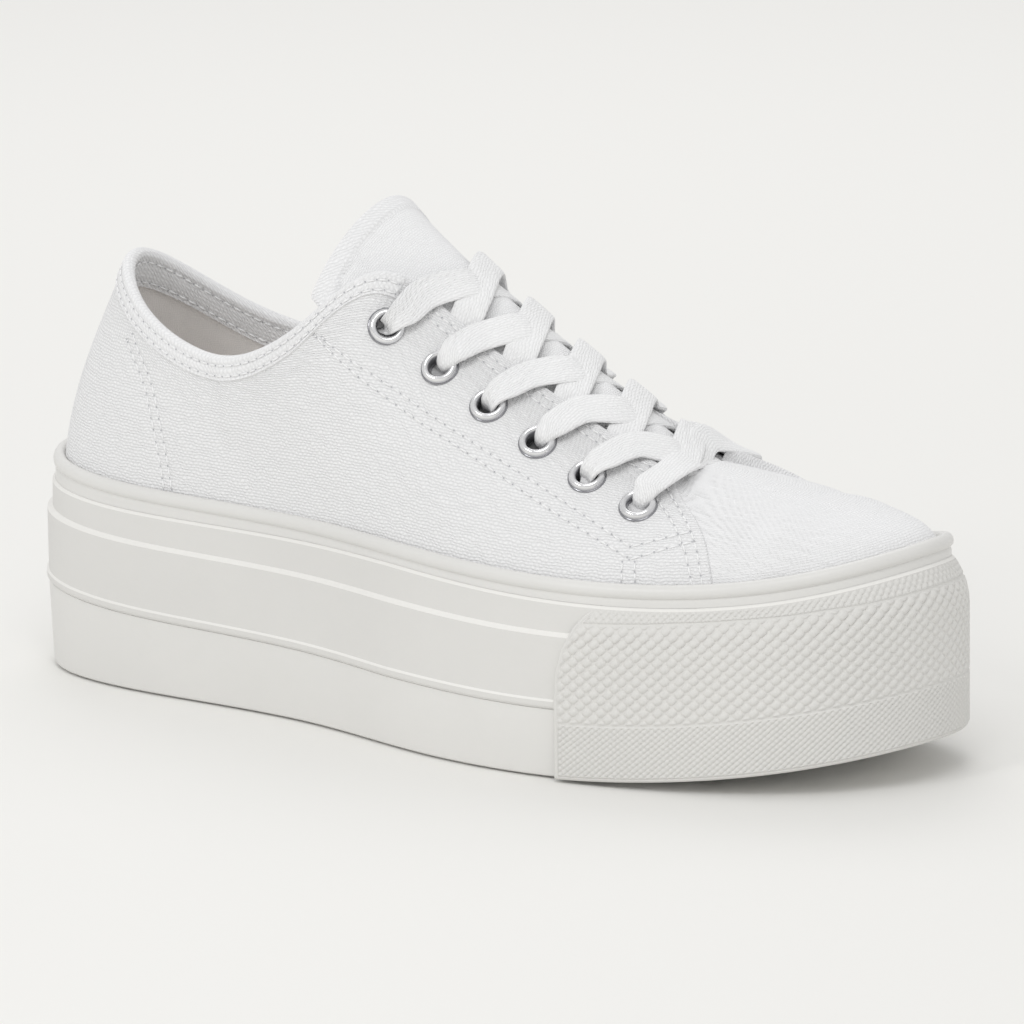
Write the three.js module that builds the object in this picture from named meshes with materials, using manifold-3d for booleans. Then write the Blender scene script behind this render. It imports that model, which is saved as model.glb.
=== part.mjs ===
// A platform sneaker for the right foot, in millimetres.
//
// +X points to the toe, +Y to the wearer's left, which is the inner (medial) side of a right shoe, and +Z up.
// The origin lies on the floor, under the middle of the shoe.
//
// Everything follows one walk round the shoe: u = 0 is the back of the heel, u = 0.5 the tip of the toe, and
// the walk goes there by the outer (lateral) side and comes back by the inner (medial) side.

import * as THREE from "three";
import { mergeVertices } from "three/addons/utils/BufferGeometryUtils.js";
import Module from "manifold-3d";

const wasm = await Module();
wasm.setup();

// ---------------------------------------------------------------- driving dimensions

const GAP = 0.3; // between neighbouring pieces
// Steps in the walk from heel to toe: closer together where the eyestay's corner turns.
const STEPS = [
  { to: 0.19, count: 11 },
  { to: 0.262, count: 8 },
  { to: 0.37, count: 7 },
  { to: 0.5, count: 10 },
];
const WALL = 1.8; // thickness of the upper: canvas and its lining

// The sole's wall: half breadths on the outer and inner side, and the height of the bead on top of it.
const OUTLINE = [
  { u: 0.0, x: -138.0, lateral: 0.0, medial: 0.0, bead: 58.8 },
  { u: 0.041, x: -127.0, lateral: 23.8, medial: 23.2, bead: 57.8 },
  { u: 0.081, x: -104.0, lateral: 33.8, medial: 34.0, bead: 56.1 },
  { u: 0.134, x: -70.0, lateral: 35.8, medial: 35.6, bead: 54.9 },
  { u: 0.197, x: -30.0, lateral: 38.1, medial: 36.4, bead: 54.2 },
  { u: 0.265, x: 12.0, lateral: 47.6, medial: 43.6, bead: 53.4 },
  { u: 0.322, x: 48.0, lateral: 49.2, medial: 48.4, bead: 51.9 },
  { u: 0.379, x: 84.0, lateral: 42.3, medial: 45.2, bead: 52.3 },
  { u: 0.43, x: 113.0, lateral: 29.9, medial: 36.6, bead: 55.8 },
  { u: 0.468, x: 129.6, lateral: 13.2, medial: 25.0, bead: 59.6 },
  { u: 0.5, x: 136.35, lateral: -7.0, medial: 7.0, bead: 61.6 },
];

// How far each line of the sole's side lies below the bead, at heel, waist and toe.
const BELOW_BEAD = {
  line: [7.2, 5.4, 5.8], // foot of the welt, top of the platform wall
  ledge: [14.4, 14.2, 12.4], // bevelled ledge
  rib: [32.6, 33.2, 29.4], // top of the raised rib
};
const RIB_HEIGHT = 3.0;
const RIB_PROUD = 0.35;
const LEDGE_BEVEL = 1.9;
const LEDGE_INSET = 1.3;
const WELT_INSET = 2.0; // the welt's face from the wall
const FOOT_INSET = 5.0; // the upper's outer face from the wall, at the bead
const TOE_SPRING = 10.8; // lift of the sole's edge at the toe
const SPRING_START = 44; // x where the sole leaves the floor

// The upper's top edge: collar, eyestay corner, throat edge and throat base, from heel to toe. `inner` is the
// height on the inner side, where the collar and the throat edge are cut a little lower.
const TOP = [
  { u: 0.0, x: -112.5, lateral: 0.0, medial: 0.0, z: 112.0, inner: 112.0 },
  { u: 0.041, x: -108.0, lateral: 11.5, medial: 11.5, z: 109.4, inner: 106.6 },
  { u: 0.081, x: -97.0, lateral: 20.5, medial: 20.5, z: 102.6, inner: 97.8 },
  { u: 0.134, x: -75.0, lateral: 27.6, medial: 26.6, z: 94.2, inner: 90.2 },
  { u: 0.168, x: -55.0, lateral: 30.6, medial: 28.6, z: 94.6, inner: 91.0 },
  { u: 0.197, x: -34.5, lateral: 31.2, medial: 28.6, z: 106.0, inner: 101.5 },
  { u: 0.212, x: -25.5, lateral: 28.9, medial: 26.4, z: 114.0, inner: 109.0 },
  { u: 0.226, x: -16.5, lateral: 23.4, medial: 21.4, z: 119.4, inner: 113.6 },
  { u: 0.24, x: -9.8, lateral: 16.9, medial: 15.4, z: 116.0, inner: 111.0 },
  { u: 0.256, x: -1.2, lateral: 14.2, medial: 12.2, z: 109.4, inner: 105.4 },
  { u: 0.322, x: 38.0, lateral: 14.0, medial: 11.5, z: 88.4, inner: 86.2 },
  { u: 0.372, x: 66.0, lateral: 12.8, medial: 10.6, z: 75.4, inner: 74.6 },
  { u: 0.42, x: 75.0, lateral: 7.8, medial: 6.4, z: 72.2, inner: 72.0 },
  { u: 0.5, x: 77.5, lateral: 0.8, medial: -0.8, z: 71.9, inner: 71.9 },
];

// The swell of the wall between its foot and its top edge: each path leaves the foot by `rise` upwards and
// `lean` inwards, and reaches the top edge from `out` further out and `drop` lower down.
const SWELL = [
  { u: 0.0, rise: 23, lean: 1.6, out: 9, drop: 21 },
  { u: 0.081, rise: 21, lean: 1.2, out: 7, drop: 19 },
  { u: 0.134, rise: 16, lean: 0.4, out: 4, drop: 15 },
  { u: 0.197, rise: 20, lean: 0.0, out: 4, drop: 20 },
  { u: 0.226, rise: 24, lean: 1.0, out: 10, drop: 18 },
  { u: 0.256, rise: 22, lean: 1.5, out: 15, drop: 11 },
  { u: 0.322, rise: 16, lean: 1.5, out: 15, drop: 10 },
  { u: 0.375, rise: 13, lean: 1.6, out: 17, drop: 7 },
  { u: 0.43, rise: 12, lean: 1.2, out: 26, drop: 4 },
  { u: 0.5, rise: 11.5, lean: 0.6, out: 36, drop: 5 },
];

// The tongue, from its root under the throat base to its top: the crown's line, the half width, how far the
// edges fall below the crown on the outer and inner side, how far they lie behind it, and how round the arch
// is, from 0, a rounded tent, to 1, half an ellipse.
const TONGUE = [
  { s: 0.0, x: 80.0, z: 68.2, half: 13, fall: 3.6, inner: 3.8, back: 0, round: 0 },
  { s: 0.22, x: 54.0, z: 83.4, half: 19, fall: 13.5, inner: 16, back: 0, round: 0 },
  { s: 0.5, x: 21.0, z: 101.8, half: 23, fall: 20, inner: 28, back: 1, round: 0 },
  { s: 0.75, x: -6.5, z: 117.8, half: 25, fall: 23, inner: 31, back: 3, round: 0.04 },
  { s: 0.9, x: -21.0, z: 128.4, half: 26, fall: 24, inner: 29, back: 6, round: 0.5 },
  { s: 1.0, x: -28.4, z: 133.8, half: 26, fall: 25, inner: 28, back: 7.6, round: 0.9 },
];
const TONGUE_THICKNESS = 3.0;
const THROAT_MIDDLE = -1.2; // y of the throat's middle line

// Eyelets: six rows a side.
const EYELET = {
  rows: 6,
  first: -12.1, // x of the top row
  pitch: 15.84, // along x
  fromEdge: 14.2, // from the throat edge to the top row, along the upper
  spread: 0.62, // further from the edge with each row
  lift: 0.6, // of the flange over the curved face
  bore: 2.7, // radii
  barrel: 3.2,
  flange: 4.95,
  roll: 1.1, // height of the rolled ring
  through: 0.6, // the barrel's end past the lining
  sides: 10,
};

// Laces: one flat lace, and the heights of its middle over what it passes.
const LACE = {
  width: 8.8,
  thickness: 1.5,
  steps: 11,
  overTongue: 1.5,
  overEdge: 2.4,
  overEyelet: 3.7,
  layer: 1.2, // the upper strip of a crossing over the lower one
  clearOfEdge: 4, // where a strip comes out from under the throat edge
  slant: 0.3, // rows that a strip has travelled where it passes a throat edge
};

// ---------------------------------------------------------------- smooth tables

// A periodic cubic spline through [station, value] pairs, stations running from 0 up to 1.
function closedSpline(pairs) {
  const n = pairs.length;
  const at = pairs.map((p) => p[0]);
  const value = pairs.map((p) => p[1]);
  const step = at.map((a, i) => (i + 1 < n ? at[i + 1] - a : 1 + at[0] - a));
  // Rows of the cyclic system for the second derivatives, solved by elimination.
  const rows = at.map((_, i) => {
    const before = (i + n - 1) % n;
    const after = (i + 1) % n;
    const row = new Array(n + 1).fill(0);
    row[before] += step[before];
    row[i] += 2 * (step[before] + step[i]);
    row[after] += step[i];
    row[n] =
      6 * ((value[after] - value[i]) / step[i] - (value[i] - value[before]) / step[before]);
    return row;
  });
  for (let i = 0; i < n; i++)
    for (let j = 0; j < n; j++) {
      if (j === i) continue;
      const k = rows[j][i] / rows[i][i];
      if (k !== 0) for (let c = i; c <= n; c++) rows[j][c] -= k * rows[i][c];
    }
  const bend = rows.map((row, i) => row[n] / row[i]);
  return (u) => {
    const t = u - Math.floor(u);
    let i = n - 1;
    while (i > 0 && at[i] > t) i--;
    const j = (i + 1) % n;
    const h = step[i];
    const b = (t - at[i]) / h;
    const a = 1 - b;
    const curve = ((a ** 3 - a) * bend[i] + (b ** 3 - b) * bend[j]) * (h * h) / 6;
    return a * value[i] + b * value[j] + curve;
  };
}

// One column of a table, as a function of u: down one side of the shoe and back up the other.
function column(table, lateral, medial = lateral) {
  const out = table.map((row) => [row.u, lateral(row)]);
  const back = table.slice(1, -1).reverse().map((row) => [1 - row.u, medial(row)]);
  return closedSpline([...out, ...back]);
}

const pointOn = (table) => ({
  x: column(table, (r) => r.x),
  y: column(table, (r) => -r.lateral, (r) => r.medial),
});

// A value given at heel, waist and toe, straight between them.
function alongShoe(x, [heel, waist, toe]) {
  const half = OUTLINE.at(-1).x;
  return x < 0 ? waist + (heel - waist) * (-x / half) : waist + (toe - waist) * (x / half);
}

// ---------------------------------------------------------------- the shoe's own forms

const edge = pointOn(OUTLINE);
const bead = column(OUTLINE, (r) => r.bead);

// The stations of the walk: down the outer side by STEPS, and back up the inner side as its mirror.
function walk() {
  const half = [0];
  for (const { to, count } of STEPS) {
    const from = half.at(-1);
    for (let i = 1; i <= count; i++) half.push(from + ((to - from) * i) / count);
  }
  return [...half, ...half.slice(1, -1).reverse().map((u) => 1 - u)];
}
const stations = walk();

// The outward direction of the sole's wall at u.
function outward(u) {
  const d = 1e-4;
  const dx = edge.x(u + d) - edge.x(u - d);
  const dy = edge.y(u + d) - edge.y(u - d);
  return new THREE.Vector3(dy, -dx, 0).normalize();
}

// A point `inset` inside the sole's wall.
function inside(u, inset, z) {
  const point = new THREE.Vector3(edge.x(u), edge.y(u), 0).addScaledVector(outward(u), -inset);
  point.z = z;
  return point;
}

function ground(x) {
  const run = Math.max(0, x - SPRING_START) / (OUTLINE.at(-1).x - SPRING_START);
  return TOE_SPRING * run * run;
}

const level = {
  bead,
  line: (u) => bead(u) - alongShoe(edge.x(u), BELOW_BEAD.line),
  ledge: (u) => bead(u) - alongShoe(edge.x(u), BELOW_BEAD.ledge),
  rib: (u) => bead(u) - alongShoe(edge.x(u), BELOW_BEAD.rib),
  ground: (u) => ground(edge.x(u)),
};

const top = { ...pointOn(TOP), z: column(TOP, (r) => r.z, (r) => r.inner) };
const swell = {
  rise: column(SWELL, (r) => r.rise),
  lean: column(SWELL, (r) => r.lean),
  out: column(SWELL, (r) => r.out),
  drop: column(SWELL, (r) => r.drop),
};

// The upper's outer face: v = 0 is its foot on the sole, v = 1 its top edge.
function upperFace(u, v) {
  const away = outward(u);
  const foot = inside(u, FOOT_INSET, level.line(u) + GAP);
  const head = new THREE.Vector3(top.x(u), top.y(u), top.z(u));
  const low = foot.clone().addScaledVector(away, -swell.lean(u));
  low.z += swell.rise(u);
  const high = head.clone().addScaledVector(away, swell.out(u));
  high.z -= swell.drop(u);
  return new THREE.CubicBezierCurve3(foot, low, high, head).getPoint(v);
}

// Its outward normal, from two short steps on the face.
function upperNormal(u, v) {
  const d = 1e-3;
  const around = upperFace(u + d, v).sub(upperFace(u - d, v));
  const up = upperFace(u, Math.min(1, v + d)).sub(upperFace(u, Math.max(0, v - d)));
  return around.cross(up).normalize();
}

const upperAt = (u, v, depth) => upperFace(u, v).addScaledVector(upperNormal(u, v), -depth);

// ---------------------------------------------------------------- meshes and solids

// A closed geometry from points and triangles, turned the right way out.
function closed(points, faces) {
  const position = new Float32Array(points.flatMap((p) => [p.x, p.y, p.z]));
  let volume = 0;
  for (const [a, b, c] of faces) volume += points[a].dot(points[b].clone().cross(points[c]));
  const index = volume < 0 ? faces.flatMap(([a, b, c]) => [a, c, b]) : faces.flat();
  const geometry = new THREE.BufferGeometry();
  geometry.setAttribute("position", new THREE.BufferAttribute(position, 3));
  geometry.setIndex(index);
  return geometry;
}

// The skin between rings of equal count. Rings run in a loop, or the first and last are capped across.
function loft(rings, looped) {
  const n = rings[0].length;
  const faces = [];
  const last = looped ? rings.length : rings.length - 1;
  for (let r = 0; r < last; r++) {
    const a = r * n;
    const b = ((r + 1) % rings.length) * n;
    for (let i = 0; i < n; i++) {
      const j = (i + 1) % n;
      faces.push([a + i, a + j, b + j], [a + i, b + j, b + i]);
    }
  }
  if (!looped) {
    faces.push(...across(0, n, true));
    faces.push(...across((rings.length - 1) * n, n, false));
  }
  return closed(rings.flat(), faces);
}

// A cap over one ring: strips that run from side to side of the shoe.
function across(start, n, under) {
  const faces = [];
  for (let i = 0; i < n / 2; i++) {
    const a = start + i;
    const b = start + i + 1;
    const c = start + n - i - 1;
    const d = start + ((n - i) % n);
    if (i > 0) faces.push([a, b, d]);
    if (b !== c) faces.push([b, c, d]);
  }
  return under ? faces.map(([a, b, c]) => [a, c, b]) : faces;
}

function toSolid(geometry) {
  const bare = geometry.index ? geometry.clone() : geometry;
  bare.deleteAttribute("normal");
  bare.deleteAttribute("uv");
  const merged = mergeVertices(bare, 1e-4);
  return new wasm.Manifold(
    new wasm.Mesh({
      numProp: 3,
      vertProperties: merged.attributes.position.array,
      triVerts: new Uint32Array(merged.index.array),
    }),
  );
}

function toGeometry(solid) {
  const mesh = solid.getMesh();
  const geometry = new THREE.BufferGeometry();
  geometry.setAttribute("position", new THREE.BufferAttribute(mesh.vertProperties, 3));
  geometry.setIndex(new THREE.BufferAttribute(mesh.triVerts, 1));
  return geometry;
}

// A ring of the sole at one inset and one height function.
const ring = (inset, height) => stations.map((u) => inside(u, inset, height(u)));

// ---------------------------------------------------------------- sole

const OUTSOLE_ROUND = 2.4; // rounded bottom edge
const GROOVE = { width: 3.2, depth: 2.4, margin: 9 };
const GROOVE_ROWS = [
  { from: -122, to: -74, pitch: 9.6 }, // heel
  { from: 6, to: 112, pitch: 10.6 }, // forefoot
];
const ARCH = { from: -62, to: -6, margin: 10, depth: 1.6 };

function halfBreadth(x) {
  // Where the outline passes x on each side, found by halving the walk.
  const find = (lo, hi) => {
    for (let i = 0; i < 40; i++) {
      const mid = (lo + hi) / 2;
      if (edge.x(mid) < x) lo = mid;
      else hi = mid;
    }
    return edge.y(lo);
  };
  return { lateral: find(0, 0.5), medial: find(1, 0.5) };
}

function outsole() {
  const topLevel = (u) => level.rib(u) - RIB_HEIGHT - GAP;
  const body = loft(
    [
      ring(3.2, level.ground),
      ring(1.6, (u) => level.ground(u) + 0.7),
      ring(0.9, (u) => level.ground(u) + OUTSOLE_ROUND),
      ring(0.6, topLevel),
    ],
    false,
  );
  let solid = toSolid(body);
  for (const row of GROOVE_ROWS)
    for (let x = row.from; x <= row.to; x += row.pitch) {
      const { lateral, medial } = halfBreadth(x);
      const length = medial - lateral - 2 * GROOVE.margin;
      const box = new THREE.BoxGeometry(GROOVE.width, length, 2 * GROOVE.depth);
      box.rotateY(-Math.atan((ground(x + 1) - ground(x - 1)) / 2));
      box.translate(x, (lateral + medial) / 2, ground(x));
      solid = solid.subtract(toSolid(box));
    }
  return toGeometry(solid.subtract(archRecess()));
}

// The arch: a shallow recess under the waist, with its own waisted outline.
function archRecess() {
  const shape = new THREE.Shape();
  const steps = 8;
  const sides = Array.from({ length: steps + 1 }, (_, i) => {
    const x = ARCH.from + ((ARCH.to - ARCH.from) * i) / steps;
    return { x, ...halfBreadth(x) };
  });
  sides.forEach((s, i) =>
    i ? shape.lineTo(s.x, s.lateral + ARCH.margin) : shape.moveTo(s.x, s.lateral + ARCH.margin),
  );
  [...sides].reverse().forEach((s) => shape.lineTo(s.x, s.medial - ARCH.margin));
  const recess = new THREE.ExtrudeGeometry(shape, { depth: 2 * ARCH.depth, bevelEnabled: false });
  recess.translate(0, 0, -ARCH.depth);
  return toSolid(recess);
}

function midsole() {
  const low = (u) => level.rib(u) - RIB_HEIGHT;
  return loft(
    [
      ring(0.5, low),
      ring(-RIB_PROUD, (u) => low(u) + 0.4),
      ring(-RIB_PROUD, (u) => level.rib(u) - 0.4),
      ring(0, level.rib),
      ring(0, (u) => level.ledge(u) - LEDGE_BEVEL),
      ring(LEDGE_INSET, level.ledge),
      ring(LEDGE_INSET + 0.1, (u) => level.line(u) - 0.6),
      ring(WELT_INSET, level.line),
    ],
    false,
  );
}

// The welt's section, as insets from the wall and heights below the bead's top.
function welt() {
  const inner = FOOT_INSET - GAP;
  const foot = (u) => level.line(u) + GAP;
  const below = (depth) => (u) => level.bead(u) - depth;
  return loft(
    [
      ring(WELT_INSET, foot),
      ring(WELT_INSET, below(4.3)),
      ring(WELT_INSET + 0.6, below(3.9)),
      ring(WELT_INSET, below(3.3)),
      ring(WELT_INSET - 0.3, below(2.2)),
      ring(WELT_INSET + 0.2, below(0.9)),
      ring(WELT_INSET + 1.2, below(0.1)),
      ring(inner, below(0)),
      ring(inner, foot),
    ],
    true,
  );
}

// The toe bumper: a shell between two forms of the sole's own wall, cut to its side outline.
const BUMPER = {
  proud: 2.0,
  start: 56, // x of its back edge
  corner: { run: 16, fall: 25, top: 47.2 }, // of its back edge: a quarter ellipse
  shoulder: 2.6, // rounded upper edge
  round: 0.8, // rounded lower edge
  bottom: 0.6, // above the sole's lower face
};

function toeBumper() {
  const bottom = (u) => level.ground(u) + BUMPER.bottom;
  const outerForm = (proud, low, high) =>
    toSolid(
      loft(
        [
          ring(-proud + BUMPER.round, low),
          ring(-proud, (u) => low(u) + BUMPER.round),
          ring(-proud, (u) => high(u) - BUMPER.shoulder),
          ring(-proud + BUMPER.shoulder * 0.3, (u) => high(u) - BUMPER.shoulder * 0.3),
          ring(-proud + BUMPER.shoulder * 0.8, high),
        ],
        false,
      ),
    );
  const outer = outerForm(BUMPER.proud, bottom, (u) => level.line(u) - GAP);
  const wall = -RIB_PROUD - GAP;
  const past = 20;
  const inner = toSolid(
    loft([ring(wall, () => -past), ring(wall, (u) => level.line(u) + past)], false),
  );
  return toGeometry(outer.subtract(inner).intersect(bumperSide()));
}

// The bumper as seen from the side: a straight back edge whose upper corner is a quarter ellipse.
function bumperSide() {
  const { start, corner } = BUMPER;
  const reach = { front: 160, high: 80, low: -10, side: 70 };
  const shape = new THREE.Shape();
  shape.moveTo(start, reach.low);
  shape.lineTo(start, corner.top - corner.fall);
  const centre = { x: start + corner.run, y: corner.top - corner.fall };
  shape.absellipse(centre.x, centre.y, corner.run, corner.fall, Math.PI, Math.PI / 2, true);
  shape.lineTo(start + corner.run, reach.high);
  shape.lineTo(reach.front, reach.high);
  shape.lineTo(reach.front, reach.low);
  const side = new THREE.ExtrudeGeometry(shape, {
    depth: 2 * reach.side,
    bevelEnabled: false,
    curveSegments: 8,
  });
  side.rotateX(Math.PI / 2);
  side.translate(0, reach.side, 0);
  return toSolid(side);
}

// The insole: a thin bed inside the upper, its edge turned up a little.
const INSOLE = { thickness: 3.2, margin: 2.6, crown: 0.8 };

function insole() {
  const inset = FOOT_INSET + WALL + INSOLE.margin;
  const foot = (u) => level.line(u) + GAP;
  const head = (u) => foot(u) + INSOLE.thickness;
  return loft(
    [
      ring(inset + 1.0, foot),
      ring(inset, (u) => foot(u) + 1.0),
      ring(inset, head),
      ring(inset + 5, (u) => head(u) - INSOLE.crown),
    ],
    false,
  );
}

// ---------------------------------------------------------------- upper

const UPPER_STEPS = 8;
const EYELET_HOLE = { length: 14, sides: 8 };

function upper() {
  const heights = Array.from({ length: UPPER_STEPS + 1 }, (_, i) => i / UPPER_STEPS);
  const skin = (depth) => heights.map((v) => stations.map((u) => upperAt(u, v, depth)));
  let solid = toSolid(loft([...skin(0), ...skin(WALL).reverse()], true));
  for (const spot of eyeletSpots) {
    const radius = EYELET.barrel + GAP;
    const hole = new THREE.CylinderGeometry(radius, radius, EYELET_HOLE.length, EYELET_HOLE.sides);
    hole.rotateX(Math.PI / 2);
    hole.applyMatrix4(spot.matrix);
    solid = solid.subtract(toSolid(hole));
  }
  return toGeometry(solid);
}

// ---------------------------------------------------------------- eyelets

// The walk's station beside the throat, on one side, at which a place on the upper passes x.
function throatSearch(side, x, placeX) {
  let low = 0.2;
  let high = 0.42;
  for (let i = 0; i < 30; i++) {
    const half = (low + high) / 2;
    if (placeX(side > 0 ? 1 - half : half) < x) low = half;
    else high = half;
  }
  return side > 0 ? 1 - low : low;
}

// The place on the upper's outer face that lies `fromEdge` below the throat edge and at x along the shoe.
function besideThroat(side, x, fromEdge) {
  const onPath = (u) => {
    const head = upperFace(u, 1);
    let near = 0.3;
    let far = 1;
    for (let i = 0; i < 30; i++) {
      const v = (near + far) / 2;
      if (upperFace(u, v).distanceTo(head) > fromEdge) near = v;
      else far = v;
    }
    return near;
  };
  const u = throatSearch(side, x, (at) => upperFace(at, onPath(at)).x);
  return { u, v: onPath(u) };
}

function eyeletSpot(side, row) {
  const fromEdge = EYELET.fromEdge + row * EYELET.spread;
  const { u, v } = besideThroat(side, EYELET.first + row * EYELET.pitch, fromEdge);
  const place = upperFace(u, v);
  const normal = upperNormal(u, v);
  const turn = new THREE.Quaternion().setFromUnitVectors(new THREE.Vector3(0, 0, 1), normal);
  const matrix = new THREE.Matrix4().compose(place, turn, new THREE.Vector3(1, 1, 1));
  return { side, row, u, place, normal, matrix };
}

const OUTER_SIDE = -1;
const INNER_SIDE = 1;
const rows = Array.from({ length: EYELET.rows }, (_, row) => row);
const eyeletSpots = [OUTER_SIDE, INNER_SIDE].flatMap((side) =>
  rows.map((row) => eyeletSpot(side, row)),
);

// A rolled ring on the face, its barrel through the wall. Radius, and height above the upper's face.
function eyelet() {
  const under = -WALL - EYELET.through;
  const crest = EYELET.lift + EYELET.roll;
  const profile = [
    [EYELET.bore, under],
    [EYELET.barrel, under],
    [EYELET.barrel, EYELET.lift],
    [EYELET.flange, EYELET.lift],
    [(EYELET.flange + EYELET.barrel) / 2, crest],
    [EYELET.bore, EYELET.lift + EYELET.roll / 2],
    [EYELET.bore, under],
  ].map(([r, z]) => new THREE.Vector2(r, z));
  const lathed = new THREE.LatheGeometry(profile, EYELET.sides);
  lathed.rotateX(Math.PI / 2);
  return lathed;
}

// ---------------------------------------------------------------- tongue

// One column of the tongue's table: an open spline, as the closed one over rows that go there and back.
const along = (key) =>
  closedSpline([
    ...TONGUE.map((r) => [r.s / 2, r[key]]),
    ...TONGUE.slice(1, -1).reverse().map((r) => [1 - r.s / 2, r[key]]),
  ]);
const tongueLine = Object.fromEntries(
  ["x", "z", "half", "fall", "inner", "back", "round"].map((key) => [key, along(key)]),
);
const TENT_WIDTH = 0.36; // of the half width: the rounded ridge of the tent
const DOME_SHARE = 0.97; // of half an ellipse, so that its edges never stand upright

// The tongue's upper face: s runs up it, t across it from -1, the outer side, to 1.
function tongueFace(s, t) {
  const at = s / 2;
  const tent = (k) => Math.sqrt(1 + (k / TENT_WIDTH) ** 2) - 1;
  const dome = (k) => 1 - Math.sqrt(1 - Math.min(1, k * k) * DOME_SHARE);
  const round = tongueLine.round(at);
  const down = ((1 - round) * tent(t)) / tent(1) + (round * dome(t)) / dome(1);
  const fall = t < 0 ? tongueLine.fall(at) : tongueLine.inner(at);
  return new THREE.Vector3(
    tongueLine.x(at) - tongueLine.back(at) * down,
    THROAT_MIDDLE + tongueLine.half(at) * t,
    tongueLine.z(at) - fall * down,
  );
}

function tongueAt(s, t, depth) {
  const d = 1e-3;
  const up = tongueFace(Math.min(1, s + d), t).sub(tongueFace(Math.max(0, s - d), t));
  const over = tongueFace(s, t + d).sub(tongueFace(s, t - d));
  const normal = over.cross(up).normalize();
  if (normal.z < 0) normal.negate();
  return tongueFace(s, t).addScaledVector(normal, -depth);
}

const TONGUE_LENGTHS = 14;
const TONGUE_ACROSS = 10;
const TONGUE_SPREAD = 2.75; // radians of a sine over the width: places close up towards the edges
const TONGUE_EDGE = 0.995; // of the half width: the rounded edge between the two faces

function tongue() {
  const lengths = Array.from({ length: TONGUE_LENGTHS + 1 }, (_, i) => i / TONGUE_LENGTHS);
  const places = Array.from({ length: TONGUE_ACROSS + 1 }, (_, i) =>
    Math.sin((i / TONGUE_ACROSS - 0.5) * TONGUE_SPREAD),
  );
  const rings = lengths.map((s) => [
    tongueAt(s, -TONGUE_EDGE, TONGUE_THICKNESS / 2),
    ...places.map((t) => tongueAt(s, t, 0)),
    tongueAt(s, TONGUE_EDGE, TONGUE_THICKNESS / 2),
    ...[...places].reverse().map((t) => tongueAt(s, t, TONGUE_THICKNESS)),
  ]);
  return loft(rings, false);
}

// The height of the tongue's upper face over a point of the floor.
function tongueHeight(x, y) {
  let low = 0;
  let high = 1;
  const at = (s) => {
    const t = (y - THROAT_MIDDLE) / tongueLine.half(s / 2);
    return tongueFace(s, THREE.MathUtils.clamp(t, -1, 1));
  };
  for (let i = 0; i < 30; i++) {
    const s = (low + high) / 2;
    if (at(s).x > x) low = s;
    else high = s;
  }
  return at(low).z;
}

// ---------------------------------------------------------------- laces

// A flat strip through its stops, each a place and the direction that the strip's face looks there.
function strip(stops) {
  const path = new THREE.CatmullRomCurve3(stops.map((stop) => stop.at));
  const faces = new THREE.CatmullRomCurve3(stops.map((stop) => stop.up));
  const rings = Array.from({ length: LACE.steps + 1 }, (_, i) => {
    const place = path.getPoint(i / LACE.steps);
    const tangent = path.getTangent(i / LACE.steps);
    const wide = faces.getPoint(i / LACE.steps).cross(tangent).normalize();
    const thick = tangent.clone().cross(wide);
    const corner = (w, t) =>
      place
        .clone()
        .addScaledVector(wide, (w * LACE.width) / 2)
        .addScaledVector(thick, (t * LACE.thickness) / 2);
    return [corner(-1, -1), corner(1, -1), corner(1, 1), corner(-1, 1)];
  });
  return toSolid(loft(rings, false));
}

// A stop `rise` over a face, along the face's own outward direction.
const lifted = (place, up, rise) => ({ at: place.clone().addScaledVector(up, rise), up });

function overTongue(x, y, rise) {
  const z = tongueHeight(x, y);
  const slopeX = tongueHeight(x + 0.5, y) - tongueHeight(x - 0.5, y);
  const slopeY = tongueHeight(x, y + 0.5) - tongueHeight(x, y - 0.5);
  const up = new THREE.Vector3(-slopeX, -slopeY, 1).normalize();
  return lifted(new THREE.Vector3(x, y, z), up, LACE.overTongue + rise);
}

const throatStation = (side, x) => throatSearch(side, x, top.x);

const spotOf = (side, row) => eyeletSpots.find((s) => s.side === side && s.row === row);

function overEdge(side, row) {
  const x = EYELET.first + (row + LACE.slant) * EYELET.pitch;
  const u = throatStation(side, x);
  return lifted(upperFace(u, 1), upperNormal(u, 0.95), LACE.overEdge);
}

function overEyelet(side, row) {
  const { place, normal } = spotOf(side, row);
  return lifted(place, normal, LACE.overEyelet);
}

// A strip's start, just inside the throat edge that it comes out from under.
function besideEdge(side, row) {
  const x = EYELET.first + (row - LACE.slant) * EYELET.pitch;
  const edgeY = top.y(throatStation(side, x));
  return overTongue(x, edgeY - side * LACE.clearOfEdge, 0);
}

// A strip comes out from under one throat edge and ends in the eyelet above it on the other side.
function crossingStrip(fromSide, row, layer) {
  const start = besideEdge(fromSide, row + 1);
  const end = overEdge(-fromSide, row);
  const between = (k, rise) => {
    const place = start.at.clone().lerp(end.at, k);
    return overTongue(place.x, place.y, rise);
  };
  return strip([
    start,
    between(0.3, layer * 0.6),
    between(0.55, layer),
    end,
    overEyelet(-fromSide, row),
  ]);
}

// Two strips cross over the tongue, the one from the outer side on top.
function laceCrossing(row) {
  const lower = crossingStrip(INNER_SIDE, row, 0);
  return toGeometry(lower.add(crossingStrip(OUTER_SIDE, row, LACE.layer)));
}

// The bar over the lowest pair of eyelets.
function laceBar() {
  const last = EYELET.rows - 1;
  const middle = overEdge(OUTER_SIDE, last).at.lerp(overEdge(INNER_SIDE, last).at, 0.5);
  const bar = strip([
    overEyelet(OUTER_SIDE, last),
    overEdge(OUTER_SIDE, last),
    overTongue(middle.x, middle.y, LACE.layer),
    overEdge(INNER_SIDE, last),
    overEyelet(INNER_SIDE, last),
  ]);
  return toGeometry(bar);
}

// ---------------------------------------------------------------- the shoe

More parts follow.
